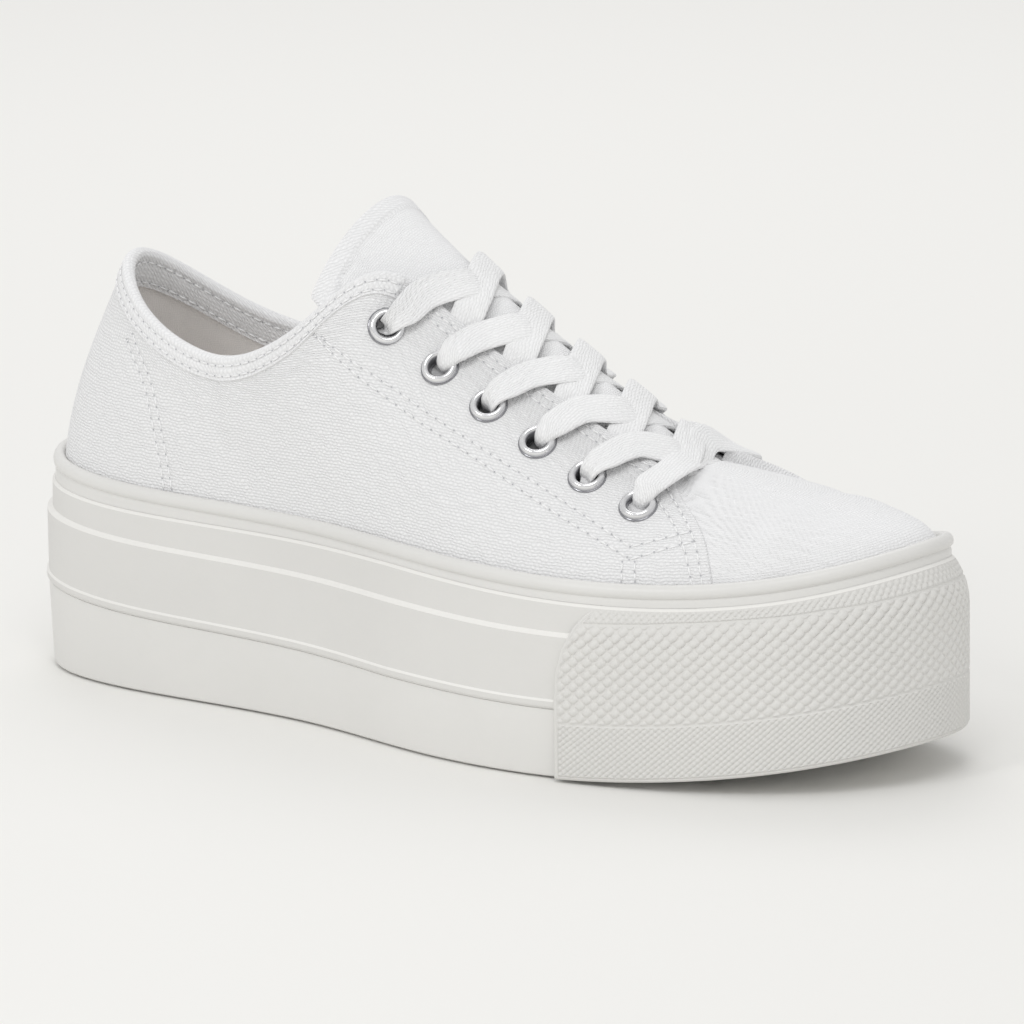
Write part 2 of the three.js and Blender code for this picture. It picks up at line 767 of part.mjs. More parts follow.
const COLOURS = { rubber: 0xdedbd6, canvas: 0xf2f2f2, lining: 0xdcd8d2, metal: 0xb8b8b8 };
const FINISH = {
  rubber: new THREE.MeshStandardMaterial({ color: COLOURS.rubber, roughness: 0.6, metalness: 0 }),
  canvas: new THREE.MeshStandardMaterial({ color: COLOURS.canvas, roughness: 0.9, metalness: 0 }),
  lining: new THREE.MeshStandardMaterial({ color: COLOURS.lining, roughness: 0.95, metalness: 0 }),
  metal: new THREE.MeshStandardMaterial({ color: COLOURS.metal, roughness: 0.3, metalness: 1 }),
};

function piece(name, geometry, material) {
  const mesh = new THREE.Mesh(geometry, material);
  mesh.name = name;
  return mesh;
}

const shoe = new THREE.Group();
shoe.add(
  piece("outsole", outsole(), FINISH.rubber),
  piece("midsole", midsole(), FINISH.rubber),
  piece("welt", welt(), FINISH.rubber),
  piece("toe_bumper", toeBumper(), FINISH.rubber),
  piece("insole", insole(), FINISH.lining),
  piece("upper", upper(), FINISH.canvas),
  piece("tongue", tongue(), FINISH.canvas),
  piece("lace_bar", laceBar(), FINISH.canvas),
);
for (const row of rows.slice(0, -1)) {
  shoe.add(piece(`lace_crossing_${row + 1}`, laceCrossing(row), FINISH.canvas));
}

for (const spot of eyeletSpots) {
  const side = spot.side === OUTER_SIDE ? "outer" : "inner";
  const ringMesh = piece(`eyelet_${side}_${spot.row + 1}`, eyelet(), FINISH.metal);
  ringMesh.applyMatrix4(spot.matrix);
  shoe.add(ringMesh);
}

export default shoe;
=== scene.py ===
# %% [markdown]
# # A platform sneaker, cell by cell
# This lesson dresses a finished construction model of a low canvas sneaker on a thick rubber platform. The
# construction model is the frame: it fixes every size and place. Blender adds what the eye looks for: rounded
# rubber, woven cloth, seams, rolled metal and a lace that really runs through its eyelets.
#
# The shoe is a right one. +X points to the toe, +Y to the inner side, +Z up, and the floor is z = 0.

# %% The frame
import functools
import math
from contextlib import contextmanager

import bpy
import numpy as np
from mathutils import Matrix, Vector


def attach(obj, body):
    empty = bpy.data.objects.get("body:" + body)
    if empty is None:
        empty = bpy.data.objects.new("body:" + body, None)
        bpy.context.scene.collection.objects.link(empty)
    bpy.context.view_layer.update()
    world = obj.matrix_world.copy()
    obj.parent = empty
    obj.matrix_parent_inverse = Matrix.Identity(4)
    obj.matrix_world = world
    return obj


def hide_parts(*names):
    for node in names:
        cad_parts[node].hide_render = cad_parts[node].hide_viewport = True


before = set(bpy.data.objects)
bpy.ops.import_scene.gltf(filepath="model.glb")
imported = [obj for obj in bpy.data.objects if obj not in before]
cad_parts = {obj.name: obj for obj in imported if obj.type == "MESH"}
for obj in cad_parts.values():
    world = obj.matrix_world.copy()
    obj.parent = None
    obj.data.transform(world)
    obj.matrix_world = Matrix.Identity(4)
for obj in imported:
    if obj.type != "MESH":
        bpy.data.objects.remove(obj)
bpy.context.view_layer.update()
MM = 0.001  # the tables below are in millimetres, Blender's meshes in metres

# %% [markdown]
# ## The last, as tables
# A shoemaker starts from a last. Here it is a walk round the shoe: u = 0 is the back of the heel, u = 0.5 the
# tip of the toe, out by the outer side and home by the inner side. Each table gives the shape at a few
# stations of that walk, and a smooth closed curve runs through them. A mesh drawn freely could look as good
# from one side, but functions keep the cloth, its seams and the stitches on one and the same surface.


# %% Tables of the shoe's own sizes
def columns(names, rows):
    return dict(zip(names.split(), np.array(rows, float).T))


OUTLINE = columns(
    "u x lateral medial bead",
    [
        (0.000, -138.00, 0.0, 0.0, 58.8),
        (0.041, -127.00, 23.8, 23.2, 57.8),
        (0.081, -104.00, 33.8, 34.0, 56.1),
        (0.134, -70.00, 35.8, 35.6, 54.9),
        (0.197, -30.00, 38.1, 36.4, 54.2),
        (0.265, 12.00, 47.6, 43.6, 53.4),
        (0.322, 48.00, 49.2, 48.4, 51.9),
        (0.379, 84.00, 42.3, 45.2, 52.3),
        (0.430, 113.00, 29.9, 36.6, 55.8),
        (0.468, 129.60, 13.2, 25.0, 59.6),
        (0.500, 136.35, -7.0, 7.0, 61.6),
    ],
)
TOP = columns(
    "u x lateral medial z inner",
    [
        (0.000, -112.5, 0.0, 0.0, 112.0, 112.0),
        (0.041, -108.0, 11.5, 11.5, 109.4, 106.6),
        (0.081, -97.0, 20.5, 20.5, 102.6, 97.8),
        (0.134, -75.0, 27.6, 26.6, 94.2, 90.2),
        (0.168, -55.0, 30.6, 28.6, 94.6, 91.0),
        (0.197, -34.5, 31.2, 28.6, 106.0, 101.5),
        (0.212, -25.5, 28.9, 26.4, 114.0, 109.0),
        (0.226, -16.5, 23.4, 21.4, 119.4, 113.6),
        (0.240, -9.8, 16.9, 15.4, 116.0, 111.0),
        (0.256, -1.2, 14.2, 12.2, 109.4, 105.4),
        (0.322, 38.0, 14.0, 11.5, 88.4, 86.2),
        (0.372, 66.0, 12.8, 10.6, 75.4, 74.6),
        (0.420, 70.0, 8.8, 7.4, 74.5, 74.2),
        (0.500, 70.8, 0.8, -0.8, 75.2, 75.2),
    ],
)
SWELL = columns(
    "u rise lean out drop",
    [
        (0.000, 23.0, 1.6, 9, 21),
        (0.081, 21.0, 1.2, 7, 19),
        (0.134, 16.0, 0.4, 4, 15),
        (0.197, 20.0, 0.0, 4, 20),
        (0.226, 24.0, 1.0, 10, 18),
        (0.256, 22.0, 1.5, 15, 11),
        (0.322, 16.0, 1.5, 15, 10),
        (0.375, 13.0, 1.6, 17, 7),
        (0.430, 10.3, 0.0, 26.6, 7.8),
        (0.500, 13.3, -0.1, 40.5, 10.9),
    ],
)
HEEL_WAIST_TOE = {"line": (7.2, 5.4, 5.8), "ledge": (14.4, 14.2, 12.4), "rib": (32.6, 33.2, 29.4)}
TOE_SPRING, SPRING_START = 10.8, 44.0
SPRING_LENGTH = OUTLINE["x"][-1] - SPRING_START
FOOT_INSET = 5.0  # from the sole's wall to the upper's outer face
WELT_INSET = 2.0
GAP = 0.3  # between the upper's foot and the bed it stands on
print("stations in the outline, top edge and swell:", len(OUTLINE["u"]), len(TOP["u"]), len(SWELL["u"]))


# %% Smooth closed curves through a table
def closed_curve(at, value):
    """A periodic cubic spline, ready to read at whole arrays of u."""
    count = len(at)
    step = np.diff(np.append(at, 1 + at[0]))
    system, target = np.zeros((count, count)), np.zeros(count)
    for i in range(count):
        before, after = (i - 1) % count, (i + 1) % count
        system[i, before] += step[before]
        system[i, i] += 2 * (step[before] + step[i])
        system[i, after] += step[i]
        slopes = (value[after] - value[i]) / step[i], (value[i] - value[before]) / step[before]
        target[i] = 6 * (slopes[0] - slopes[1])
    bend = np.linalg.solve(system, target)

    def read(u):
        t = np.mod(u, 1.0)
        i = np.searchsorted(at, t, side="right") - 1
        j = (i + 1) % count
        b = (t - at[i]) / step[i]
        a = 1 - b
        curve = ((a**3 - a) * bend[i] + (b**3 - b) * bend[j]) * step[i] ** 2 / 6
        return a * value[i] + b * value[j] + curve

    return read


def round_the_shoe(table, out, home=None, flip=1):
    """Reads one column down the outer side and another back up the inner side."""
    values = np.append(flip * table[out], table[home or out][-2:0:-1])
    return closed_curve(np.append(table["u"], 1 - table["u"][-2:0:-1]), values)


edge_x, edge_y = round_the_shoe(OUTLINE, "x"), round_the_shoe(OUTLINE, "lateral", "medial", -1)
bead_z = round_the_shoe(OUTLINE, "bead")
top_x, top_y = round_the_shoe(TOP, "x"), round_the_shoe(TOP, "lateral", "medial", -1)
top_z = round_the_shoe(TOP, "z", "inner")
swell = {name: round_the_shoe(SWELL, name) for name in ("rise", "lean", "out", "drop")}
print("tip of the toe at x, y, bead:", edge_x(0.5), edge_y(0.5), bead_z(0.5))


# %% The sole's wall and its level lines
def unit(a):
    return a / np.linalg.norm(a, axis=-1, keepdims=True)


def run_along(places):
    """The length of a line so far, at each of its places."""
    return np.concatenate([[0], np.cumsum(np.linalg.norm(np.diff(places, axis=0), axis=1))])


def halve(low, high, beyond):
    """The number between low and high up to which beyond(number) is true."""
    for _ in range(30):
        half = (low + high) / 2
        low, high = (half, high) if beyond(half) else (low, half)
    return low


def outward(u):
    d = 1e-4
    dx, dy = edge_x(u + d) - edge_x(u - d), edge_y(u + d) - edge_y(u - d)
    return unit(np.stack([dy, -dx, 0 * dx], -1))


def wall(u, inset, z):
    """A point `inset` inside the sole's wall, at height z."""
    point = np.stack([edge_x(u), edge_y(u), 0 * edge_x(u)], -1) - inset * outward(u)
    point[..., 2] = z
    return point


def below_bead(name):
    heel, waist, toe = HEEL_WAIST_TOE[name]

    def height(u):
        run = edge_x(u) / OUTLINE["x"][-1]
        return bead_z(u) - (waist + np.where(run < 0, (waist - heel) * run, (toe - waist) * run))

    return height


def toe_run(x):
    """0 where the toe spring starts, 1 at the tip."""
    return np.maximum(0, x - SPRING_START) / SPRING_LENGTH


def ground_z(u):
    return TOE_SPRING * toe_run(edge_x(u)) ** 2


line_z, ledge_z, rib_z = below_bead("line"), below_bead("ledge"), below_bead("rib")
print("heel wall from floor to bead:", bead_z(0.0), "mm, toe spring:", ground_z(0.5), "mm")

# %% [markdown]
# ## Hands for the bench
# Blender's operators act on whatever is selected, and the frame's nodes arrive selected. These few helpers
# pick one piece, open it in edit mode, apply a modifier, or lay a flat grid over a form. The grid primitive
# brings a UV map, and the helper rewrites it to the cloth's true length along and up, so that a weave keeps
# one size everywhere.


# %% Selecting, editing and modifying one piece
def only(*pieces):
    bpy.ops.object.select_all(action="DESELECT")
    for piece in pieces:
        piece.select_set(True)
    bpy.context.view_layer.objects.active = pieces[0]


def fresh(operator, name, **settings):
    """A new piece from a primitive, with nothing else selected."""
    bpy.ops.object.select_all(action="DESELECT")
    operator(**settings)
    piece = bpy.context.object
    piece.name = piece.data.name = name
    return piece


@contextmanager
def editing(piece):
    only(piece)
    bpy.ops.object.mode_set(mode="EDIT")
    bpy.ops.mesh.select_mode(type="VERT")
    bpy.ops.mesh.select_all(action="SELECT")
    yield
    bpy.ops.object.mode_set(mode="OBJECT")


def modify(piece, kind, **settings):
    only(piece)
    bpy.ops.object.modifier_add(type=kind)
    modifier = piece.modifiers[-1]
    for name, value in settings.items():
        setattr(modifier, name, value)
    bpy.ops.object.modifier_apply(modifier=modifier.name)


def cut_away(piece, cutter):
    modify(piece, "BOOLEAN", object=cutter, operation="DIFFERENCE", solver="EXACT")


def corners(piece):
    places = np.empty(len(piece.data.vertices) * 3)
    piece.data.vertices.foreach_get("co", places)
    return places.reshape(-1, 3)


def move_corners(piece, places):
    piece.data.vertices.foreach_set("co", np.ascontiguousarray(places, float).ravel())
    piece.data.update()


def triangles(piece):
    piece.data.calc_loop_triangles()
    return len(piece.data.loop_triangles)


def say(piece):
    low, high = corners(piece).min(0) / MM, corners(piece).max(0) / MM
    print(f"{piece.name}: {triangles(piece)} triangles, {np.round(high - low, 1).tolist()} mm")


print("frame triangles:", sum(triangles(node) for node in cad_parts.values()))


# %% Laying a grid over a form
def cloth_uv(piece, flat, places):
    """UVs in metres: along each row from the middle column, and up each column from the bottom row."""
    xs, ys = np.unique(np.round(flat[:, 0], 6)), np.unique(np.round(flat[:, 1], 6))
    i = np.searchsorted(xs, np.round(flat[:, 0], 6))
    j = np.searchsorted(ys, np.round(flat[:, 1], 6))
    net = np.empty((len(ys), len(xs), 3))
    net[j, i] = places
    along = np.cumsum(np.linalg.norm(np.diff(net, axis=1, prepend=net[:, :1]), axis=2), axis=1)
    along -= along[:, len(xs) // 2][:, None]
    up = np.cumsum(np.linalg.norm(np.diff(net, axis=0, prepend=net[:1]), axis=2), axis=0)
    which = np.empty(len(piece.data.loops), int)
    piece.data.loops.foreach_get("vertex_index", which)
    uv = np.stack([along[j, i], up[j, i]], -1)[which]
    piece.data.uv_layers.active.data.foreach_set("uv", uv.ravel())


def lay_grid(name, across, up, place):
    """A flat grid of `across` by `up` squares; place(a, b), a and b from 0 to 1, lays it on a form in mm."""
    piece = fresh(bpy.ops.mesh.primitive_grid_add, name, x_subdivisions=across, y_subdivisions=up, size=1)
    flat = corners(piece)
    places = place(flat[:, 0] + 0.5, flat[:, 1] + 0.5) * MM
    cloth_uv(piece, flat, places)
    move_corners(piece, places)
    return piece


def close_up(piece, distance=0.002):
    with editing(piece):
        bpy.ops.mesh.remove_doubles(threshold=distance * MM)
        bpy.ops.mesh.normals_make_consistent(inside=False)


def join(name, pieces):
    only(*pieces)
    bpy.ops.object.join()
    joined = bpy.context.object
    joined.name = joined.data.name = name
    return joined


def smooth(piece, degrees=35):
    only(piece)
    bpy.ops.object.shade_smooth_by_angle(angle=math.radians(degrees))


def dress(piece, *finishes):
    piece.data.materials.clear()
    for finish in finishes:
        piece.data.materials.append(finish)


def complete(piece, degrees, *finishes):
    """What every piece gets at its end: smooth faces, its finish, and a line that measures it."""
    smooth(piece, degrees)
    dress(piece, *finishes)
    say(piece)


print("helpers ready")

# %% [markdown]
# ## Finishes first
# Every finish is a small tree of nodes. Moulded rubber is matt, a little uneven in tone, with a very fine
# grain. It is read on Object coordinates, because rubber has no grain direction to follow.


# %% A bench for building node trees
class Finish:
    """A material with its shader, and short ways to add nodes and join them."""

    def __init__(self, name):
        self.material = bpy.data.materials.new(name)
        self.material.use_nodes = True
        self.tree = self.material.node_tree
        self.shader = self.tree.nodes["Principled BSDF"]

    def node(self, kind, inputs=None, **settings):
        node = self.tree.nodes.new(kind)
        for name, value in settings.items():
            setattr(node, name, value)
        for key, value in (inputs or {}).items():
            self.feed(node.inputs[key], value)
        return node

    def feed(self, socket, value):
        if isinstance(value, bpy.types.NodeSocket):
            self.tree.links.new(value, socket)
        else:
            socket.default_value = value

    def math(self, operation, *values):
        return self.node("ShaderNodeMath", dict(enumerate(values)), operation=operation).outputs[0]

    def place(self, output, scale=(1, 1, 1), turn=0.0):
        source = self.node("ShaderNodeTexCoord").outputs[output]
        inputs = {"Vector": source, "Scale": scale, "Rotation": (0, 0, turn)}
        return self.node("ShaderNodeMapping", inputs).outputs[0]

    def noise(self, vector, scale, detail=3.0):
        inputs = {"Vector": vector, "Scale": scale, "Detail": detail, "Roughness": 0.5}
        return self.node("ShaderNodeTexNoise", inputs).outputs["Fac"]

    def remap(self, value, low, high):
        inputs = {"Value": value, "From Min": 0.3, "From Max": 0.7, "To Min": low, "To Max": high}
        return self.node("ShaderNodeMapRange", inputs).outputs[0]

    def blend(self, factor, first, second):
        mix = self.node("ShaderNodeMix", data_type="RGBA")
        for socket, value in zip((mix.inputs[0], mix.inputs[6], mix.inputs[7]), (factor, first, second)):
            self.feed(socket, value)
        return mix.outputs[2]

    def bump(self, height, depth, strength=1.0, below=None):
        inputs = {"Height": height, "Distance": depth, "Strength": strength}
        if below is not None:
            inputs["Normal"] = below
        return self.node("ShaderNodeBump", inputs).outputs[0]

    def wear(self, **sockets):
        for name, value in sockets.items():
            self.feed(self.shader.inputs[name.replace("_", " ")], value)
        return self.material


def shade(colour, k):
    return tuple(c * k for c in colour[:3]) + (1.0,)


print("finish bench ready")


# %% Matt moulded rubber
GRAIN = 0.00005  # metres
HIGHLIGHT_GAIN = 1.17  # painted highlight: a paler rubber for the faces that look up, where light from above falls
RUBBER = (0.722, 0.714, 0.69, 1.0)
RUBBER_LIGHT = (0.775, 0.768, 0.745, 1.0)
RUBBER_WELT = (0.745, 0.738, 0.716, 1.0)


def rubber(name, colour, gloss=0.0):
    finish = Finish(name)
    here = finish.place("Object")
    cloud = finish.noise(here, 14.0)
    fine = finish.noise(here, 900.0, 4.0)
    tone = finish.blend(finish.remap(cloud, 0.0, 1.0), shade(colour, 0.97), shade(colour, 1.02))
    normal = finish.bump(finish.noise(here, 60.0), 0.0002, 0.25)
    return finish.wear(
        Base_Color=tone,
        Roughness=finish.remap(fine, 0.5 - gloss, 0.62 - gloss),
        Normal=finish.bump(fine, GRAIN, 0.5, normal),
        Specular_IOR_Level=0.4,
    )


sole_rubber = rubber("sole_rubber", RUBBER)
# a paler copy of the sole rubber: a painted highlight on the faces that look up
painted_highlight_rubber = rubber("painted_highlight_rubber", shade(RUBBER, HIGHLIGHT_GAIN))
welt_rubber = rubber("welt_rubber", RUBBER_WELT, gloss=0.2)
tread_rubber = rubber("tread_rubber", RUBBER_LIGHT)
bumper_rubber = rubber("bumper_rubber", RUBBER)
print("rubber finishes: 5, grain", GRAIN, "m")

# %% [markdown]
# ## The sole
# The real sole is a moulded box of rubber with a band of foxing round it. Its side is a stack of level lines:
# floor, rib, ledge, and the line where the welt stands. A grid bent into a drum makes the side, two narrow
# grids close it above and below, and a bevel softens the moulded edges. Extruding a filled outline would
# give the same wall, but its caps would be one huge face each.

# %% A closed form from rings
WALK = 360  # squares round the sole


def drum(name, rings, across=20):
    """A closed solid from rings, bottom to top: (inset, level, rise), where a level is a function of u."""

    def side(a, b):
        k = np.rint(b * (len(rings) - 1)).astype(int)
        inset = np.array([ring[0] for ring in rings])[k]
        heights = np.stack([level(a) + rise for _, level, rise in rings])
        return wall(a, inset[:, None], heights[k, np.arange(len(a))])

    def plate(ring, upward):
        inset, level, rise = ring

        def place(a, b):
            b = b if upward else 1 - b
            low, high = (wall(u, inset, level(u) + rise) for u in (a / 2, 1 - a / 2))
            return low + (high - low) * b[:, None]

        return lay_grid(name + "_plate", WALK // 2, across, place)

    parts = [lay_grid(name, WALK, len(rings) - 1, side), plate(rings[0], False), plate(rings[-1], True)]
    piece = join(name, parts)
    close_up(piece)
    return piece


def soften(piece, width, degrees=25, segments=2):
    modify(
        piece,
        "BEVEL",
        width=width * MM,
        segments=segments,
        limit_method="ANGLE",
        angle_limit=math.radians(degrees),
        use_clamp_overlap=True,
    )


print("a drum has", WALK, "squares round it")

# %% The midsole: platform wall, bevelled ledge and rib
RIB_HEIGHT, RIB_PROUD, RIB_RISE = 2.5, 0.55, 1.0
LEDGE_BEVEL, LEDGE_INSET = 0.9, 1.45


def rib_top(u):
    return rib_z(u) + RIB_RISE


midsole = drum(
    "midsole_wall",
    [
        (0.2, rib_top, -RIB_HEIGHT),
        (-RIB_PROUD + 0.45, rib_top, -RIB_HEIGHT + 0.03),
        (-RIB_PROUD, rib_top, -RIB_HEIGHT + 0.65),
        (-RIB_PROUD, rib_top, -0.5),
        (0.0, rib_top, 0.0),
        (0.0, ledge_z, -LEDGE_BEVEL),
        (LEDGE_INSET, ledge_z, 0.0),
        (LEDGE_INSET + 0.1, line_z, -0.75),
        (WELT_INSET + 0.35, line_z, -0.12),
        (WELT_INSET + 1.2, line_z, 0.0),
    ],
)
soften(midsole, 0.16)
smooth(midsole)
dress(midsole, sole_rubber, painted_highlight_rubber)
for face in midsole.data.polygons:  # painted highlight: faces that look up get the paler rubber
    face.material_index = int(face.normal.z > 0.25)
say(midsole)

# %% [markdown]
# The outsole is the layer that meets the floor. Its bottom edge is undercut a little, for the thin line of
# shade a shoe stands on; it lifts at the toe, and cross grooves give it grip. The grooves are cubes, stretched
# across the sole and cut away with one Boolean: a Boolean is the honest tool for a moulded groove, because it
# leaves the solid closed.

# %% The outsole and its grooves
GROOVE = {"width": 3.2, "depth": 2.4, "margin": 9.0}
GROOVE_ROWS = [(-122.0, -74.0, 9.6), (6.0, 112.0, 10.6)]  # from, to, pitch along x
ARCH = {"from": -62.0, "to": -6.0, "margin": 10.0, "depth": 1.6}
outsole = drum(
    "outsole_tread",
    [
        (5.2, ground_z, 0.0),
        (4.2, ground_z, 0.4),
        (1.5, ground_z, 0.55),
        (1.0, ground_z, 1.0),
        (0.8, ground_z, 2.4),
        (0.0, rib_top, -RIB_HEIGHT - 0.16),
        (0.25, rib_top, -RIB_HEIGHT - 0.04),
    ],
    across=12,
)


def breadth(x):
    """Both sides of the sole at x, read from the walk."""
    walk = np.linspace(0, 0.5, 801)
    near = np.interp(x, edge_x(walk), edge_y(walk))
    return near, np.interp(x, edge_x(1 - walk), edge_y(1 - walk))


def groove_block(x):
    """A cube stretched across the sole, its middle on the ground line at x."""
    near, far = breadth(x)
    low, high = near + GROOVE["margin"], far - GROOVE["margin"]
    centre = Vector((x, (low + high) / 2, TOE_SPRING * toe_run(x) ** 2)) * MM
    tilt = math.atan(2 * TOE_SPRING * toe_run(x) / SPRING_LENGTH)
    cutter = fresh(bpy.ops.mesh.primitive_cube_add, "groove", size=1, location=centre, rotation=(0, -tilt, 0))
    cutter.scale = (GROOVE["width"] * MM, (high - low) * MM, 2 * GROOVE["depth"] * MM)
    return cutter


groove_x = np.concatenate([np.arange(first, last + 0.1, pitch) for first, last, pitch in GROOVE_ROWS])
tread_cutter = join("tread_cutter", [groove_block(x) for x in groove_x])
only(tread_cutter)
bpy.ops.object.transform_apply(location=True, rotation=True, scale=True)
cut_away(outsole, tread_cutter)
bpy.data.objects.remove(tread_cutter)
complete(outsole, 30, tread_rubber)

# %% [markdown]
# The arch is a shallow recess under the waist with the sole's own waisted outline, so its cutter is laid as a
# grid between the two sides, and Solidify gives it depth.

# %% The arch recess
def arch_place(a, b):
    x = ARCH["from"] + (ARCH["to"] - ARCH["from"]) * a
    near, far = breadth(x)
    low, high = near + ARCH["margin"], far - ARCH["margin"]
    return np.stack([x, low + (high - low) * b, 0 * x - ARCH["depth"]], -1)


arch_cutter = lay_grid("arch_cutter", 12, 2, arch_place)
modify(arch_cutter, "SOLIDIFY", thickness=2 * ARCH["depth"] * MM, offset=1.0)
cut_away(outsole, arch_cutter)
bpy.data.objects.remove(arch_cutter)
say(outsole)

# %% [markdown]
# The welt is the strip that joins upper and sole. Its round bead throws the brightest line on the shoe, with
# a thin dark groove right under it. Its section is a short table of insets and drops below the bead's top,
# swept round the walk as a grid that closes both ways.

# %% The welt and its bead
BEAD = columns(
    "inset drop",
    [
        (FOOT_INSET + 0.5, 3.0),
        (FOOT_INSET + 0.1, 0.9),
        (FOOT_INSET - 0.5, 0.25),
        (4.0, 0.0),
        (3.3, 0.05),
        (2.6, 0.45),
        (2.1, 1.15),
        (1.9, 2.0),
        (2.0, 2.8),
        (2.35, 3.3),
        (2.7, 3.6),
        (2.62, 3.85),
        (2.52, 4.1),
        (2.45, 4.4),
    ],
)
BAND_INSET = WELT_INSET + 0.42  # the narrow band under the bead


def welt_place(a, b):
    count = len(BEAD["drop"])
    k = np.rint(b * (count + 2)).astype(int)
    last = np.minimum(k, count - 1)
    inset = np.select([k < count, k == count], [BEAD["inset"][last], BAND_INSET], FOOT_INSET + 0.5)
    inset = np.where(k == count + 2, BEAD["inset"][0], inset)
    z = np.where(k < count, bead_z(a) - BEAD["drop"][last], line_z(a) - 0.02)
    z = np.where(k == count + 2, bead_z(a) - BEAD["drop"][0], z)
    return wall(a, inset[:, None], z)


welt = lay_grid("welt_bead", WALK, len(BEAD["drop"]) + 2, lambda a, b: welt_place(a, 1 - b))
close_up(welt)
complete(welt, 50, welt_rubber)

# %% [markdown]
# Canvas is woven, so its finish reads the cloth's own UV map, in metres. A plain weave is a brick pattern of
# little pillows: S is the wave up the cloth, C the wave along it, and 0.6|S| + 0.4 C S swaps the pillows
# over on every other row, which needs no texture at all. Noise pushes the threads off their true lines.


# %% Woven cloth
def woven(name, colour, rib, run, depth, shadow, turn=0.0, sheen=0.25):
    """rib and run are the weave's steps in mm up and along the cloth."""
    finish = Finish(name)
    plus, times = (functools.partial(finish.math, kind) for kind in ("ADD", "MULTIPLY"))
    flat = finish.place("UV", turn=turn)
    wander = finish.noise(flat, 330.0, 2.0)
    push = times(finish.math("SUBTRACT", wander, 0.5), 0.0014)
    axes = finish.node("ShaderNodeSeparateXYZ", {"Vector": flat}).outputs
    x, y = plus(axes["X"], push), plus(axes["Y"], push)
    wave_up = finish.math("SINE", times(y, math.pi / (rib * MM)))
    wave_along = finish.math("COSINE", times(x, 2 * math.pi / (run * MM)))
    pillows = times(times(wave_up, wave_along), 0.4)
    weave = plus(times(finish.math("ABSOLUTE", wave_up), 0.6), pillows)
    fibres = finish.noise(flat, 5200.0, 2.0)
    height = plus(weave, times(fibres, 0.25))
    cloud = finish.noise(finish.place("Object"), 26.0)
    base = finish.blend(finish.remap(cloud, 0.0, 1.0), shade(colour, 0.975), shade(colour, 1.01))
    deep = finish.node(
        "ShaderNodeMapRange",
        {"Value": weave, "From Min": 0.0, "From Max": 0.62, "To Min": 1.0, "To Max": 0.0},
    ).outputs[0]
    tone = finish.blend(deep, base, shade(colour, shadow))
    return finish.wear(
        Base_Color=tone,
        Roughness=0.9,
        Normal=finish.bump(height, depth * MM, 1.0),
        Specular_IOR_Level=0.2,
        Sheen_Weight=sheen,
        Sheen_Roughness=0.6,
    )


WHITE = (0.90, 0.90, 0.905, 1.0)
canvas = woven("canvas", WHITE, 0.84, 1.5, 0.2, shadow=0.83)
vamp_canvas = woven("canvas_vamp", WHITE, 0.84, 1.2, 0.14, shadow=0.9)
tongue_canvas = woven("canvas_tongue", WHITE, 0.66, 0.9, 0.12, shadow=0.9)
tape_cloth = woven("canvas_tape", WHITE, 0.9, 1.9, 0.16, turn=0.7, shadow=0.88)
lining_cloth = woven("lining", (0.93, 0.9, 0.872, 1.0), 0.5, 0.7, 0.06, shadow=0.9)
lace_cloth = woven("lace", (0.91, 0.91, 0.912, 1.0), 0.8, 1.7, 0.16, turn=0.12, shadow=0.9, sheen=0.3)
print("woven finishes: 6")

# %% [markdown]
# Thread, needle holes and metal are small but they are what makes a shoe read as sewn. The metal is nickel,
# brushed a little by handling. Its colour reads an attribute that each ring carries: a painted highlight on
# the crest, and painted shade and a painted dark reflection in the bore and at the foot.


# %% Thread, needle hole and nickel
def thread_finish():
    finish = Finish("stitch_thread")
    strands = finish.noise(finish.place("Object"), 2600.0, 2.0)
    tone = finish.blend(finish.remap(strands, 0.0, 1.0), (0.86, 0.86, 0.865, 1.0), (0.93, 0.93, 0.93, 1.0))
    return finish.wear(Base_Color=tone, Roughness=0.7, Normal=finish.bump(strands, 0.00008, 0.6))


def hole_finish():
    finish = Finish("needle_hole")
    cloud = finish.noise(finish.place("Object"), 800.0)
    tone = finish.blend(finish.remap(cloud, 0.0, 1.0), (0.44, 0.44, 0.46, 1.0), (0.56, 0.56, 0.58, 1.0))
    return finish.wear(Base_Color=tone, Roughness=1.0, Specular_IOR_Level=0.0)


def nickel_finish():
    finish = Finish("eyelet_metal")
    here = finish.place("Object")
    rub = finish.noise(here, 700.0)
    # painted reflection and shade: the rings' attribute lights the crest and darkens the bore and the foot
    painted_reflection = finish.node("ShaderNodeAttribute", attribute_name="painted_reflection").outputs["Fac"]
    bright = finish.blend(finish.remap(rub, 0.0, 1.0), (0.84, 0.84, 0.85, 1.0), (0.92, 0.92, 0.925, 1.0))
    return finish.wear(
        Base_Color=finish.blend(painted_reflection, (0.30, 0.30, 0.32, 1.0), bright),
        Metallic=1.0,
        Roughness=finish.remap(rub, 0.13, 0.22),
        Normal=finish.bump(finish.noise(here, 300.0), 0.00004, 0.4),
    )


stitch_thread, needle_hole, nickel = thread_finish(), hole_finish(), nickel_finish()
print("small finishes ready")

# %% [markdown]
# ## The upper's form
# Canvas is cut flat and pulled over the last, so its side is a swelling wall between the sole and the top
# edge. One path per station makes it: a Bezier curve that leaves the foot upwards and reaches the top edge
# from outside. Two numbers, u round the shoe and v up the wall, then name any place on the cloth.


# %% The face of the upper
UP = np.array([0.0, 0.0, 1.0])


def upper_face(u, v):
    u, v = np.broadcast_arrays(np.asarray(u, float), np.asarray(v, float))
    away = outward(u)
    foot = wall(u, FOOT_INSET, line_z(u) + GAP)
    head = np.stack([top_x(u), top_y(u), top_z(u)], -1)
    low = foot - away * swell["lean"](u)[..., None] + UP * swell["rise"](u)[..., None]
    high = head + away * swell["out"](u)[..., None] - UP * swell["drop"](u)[..., None]
    v = v[..., None]
    w = 1 - v
    return w**3 * foot + 3 * w**2 * v * low + 3 * w * v**2 * high + v**3 * head


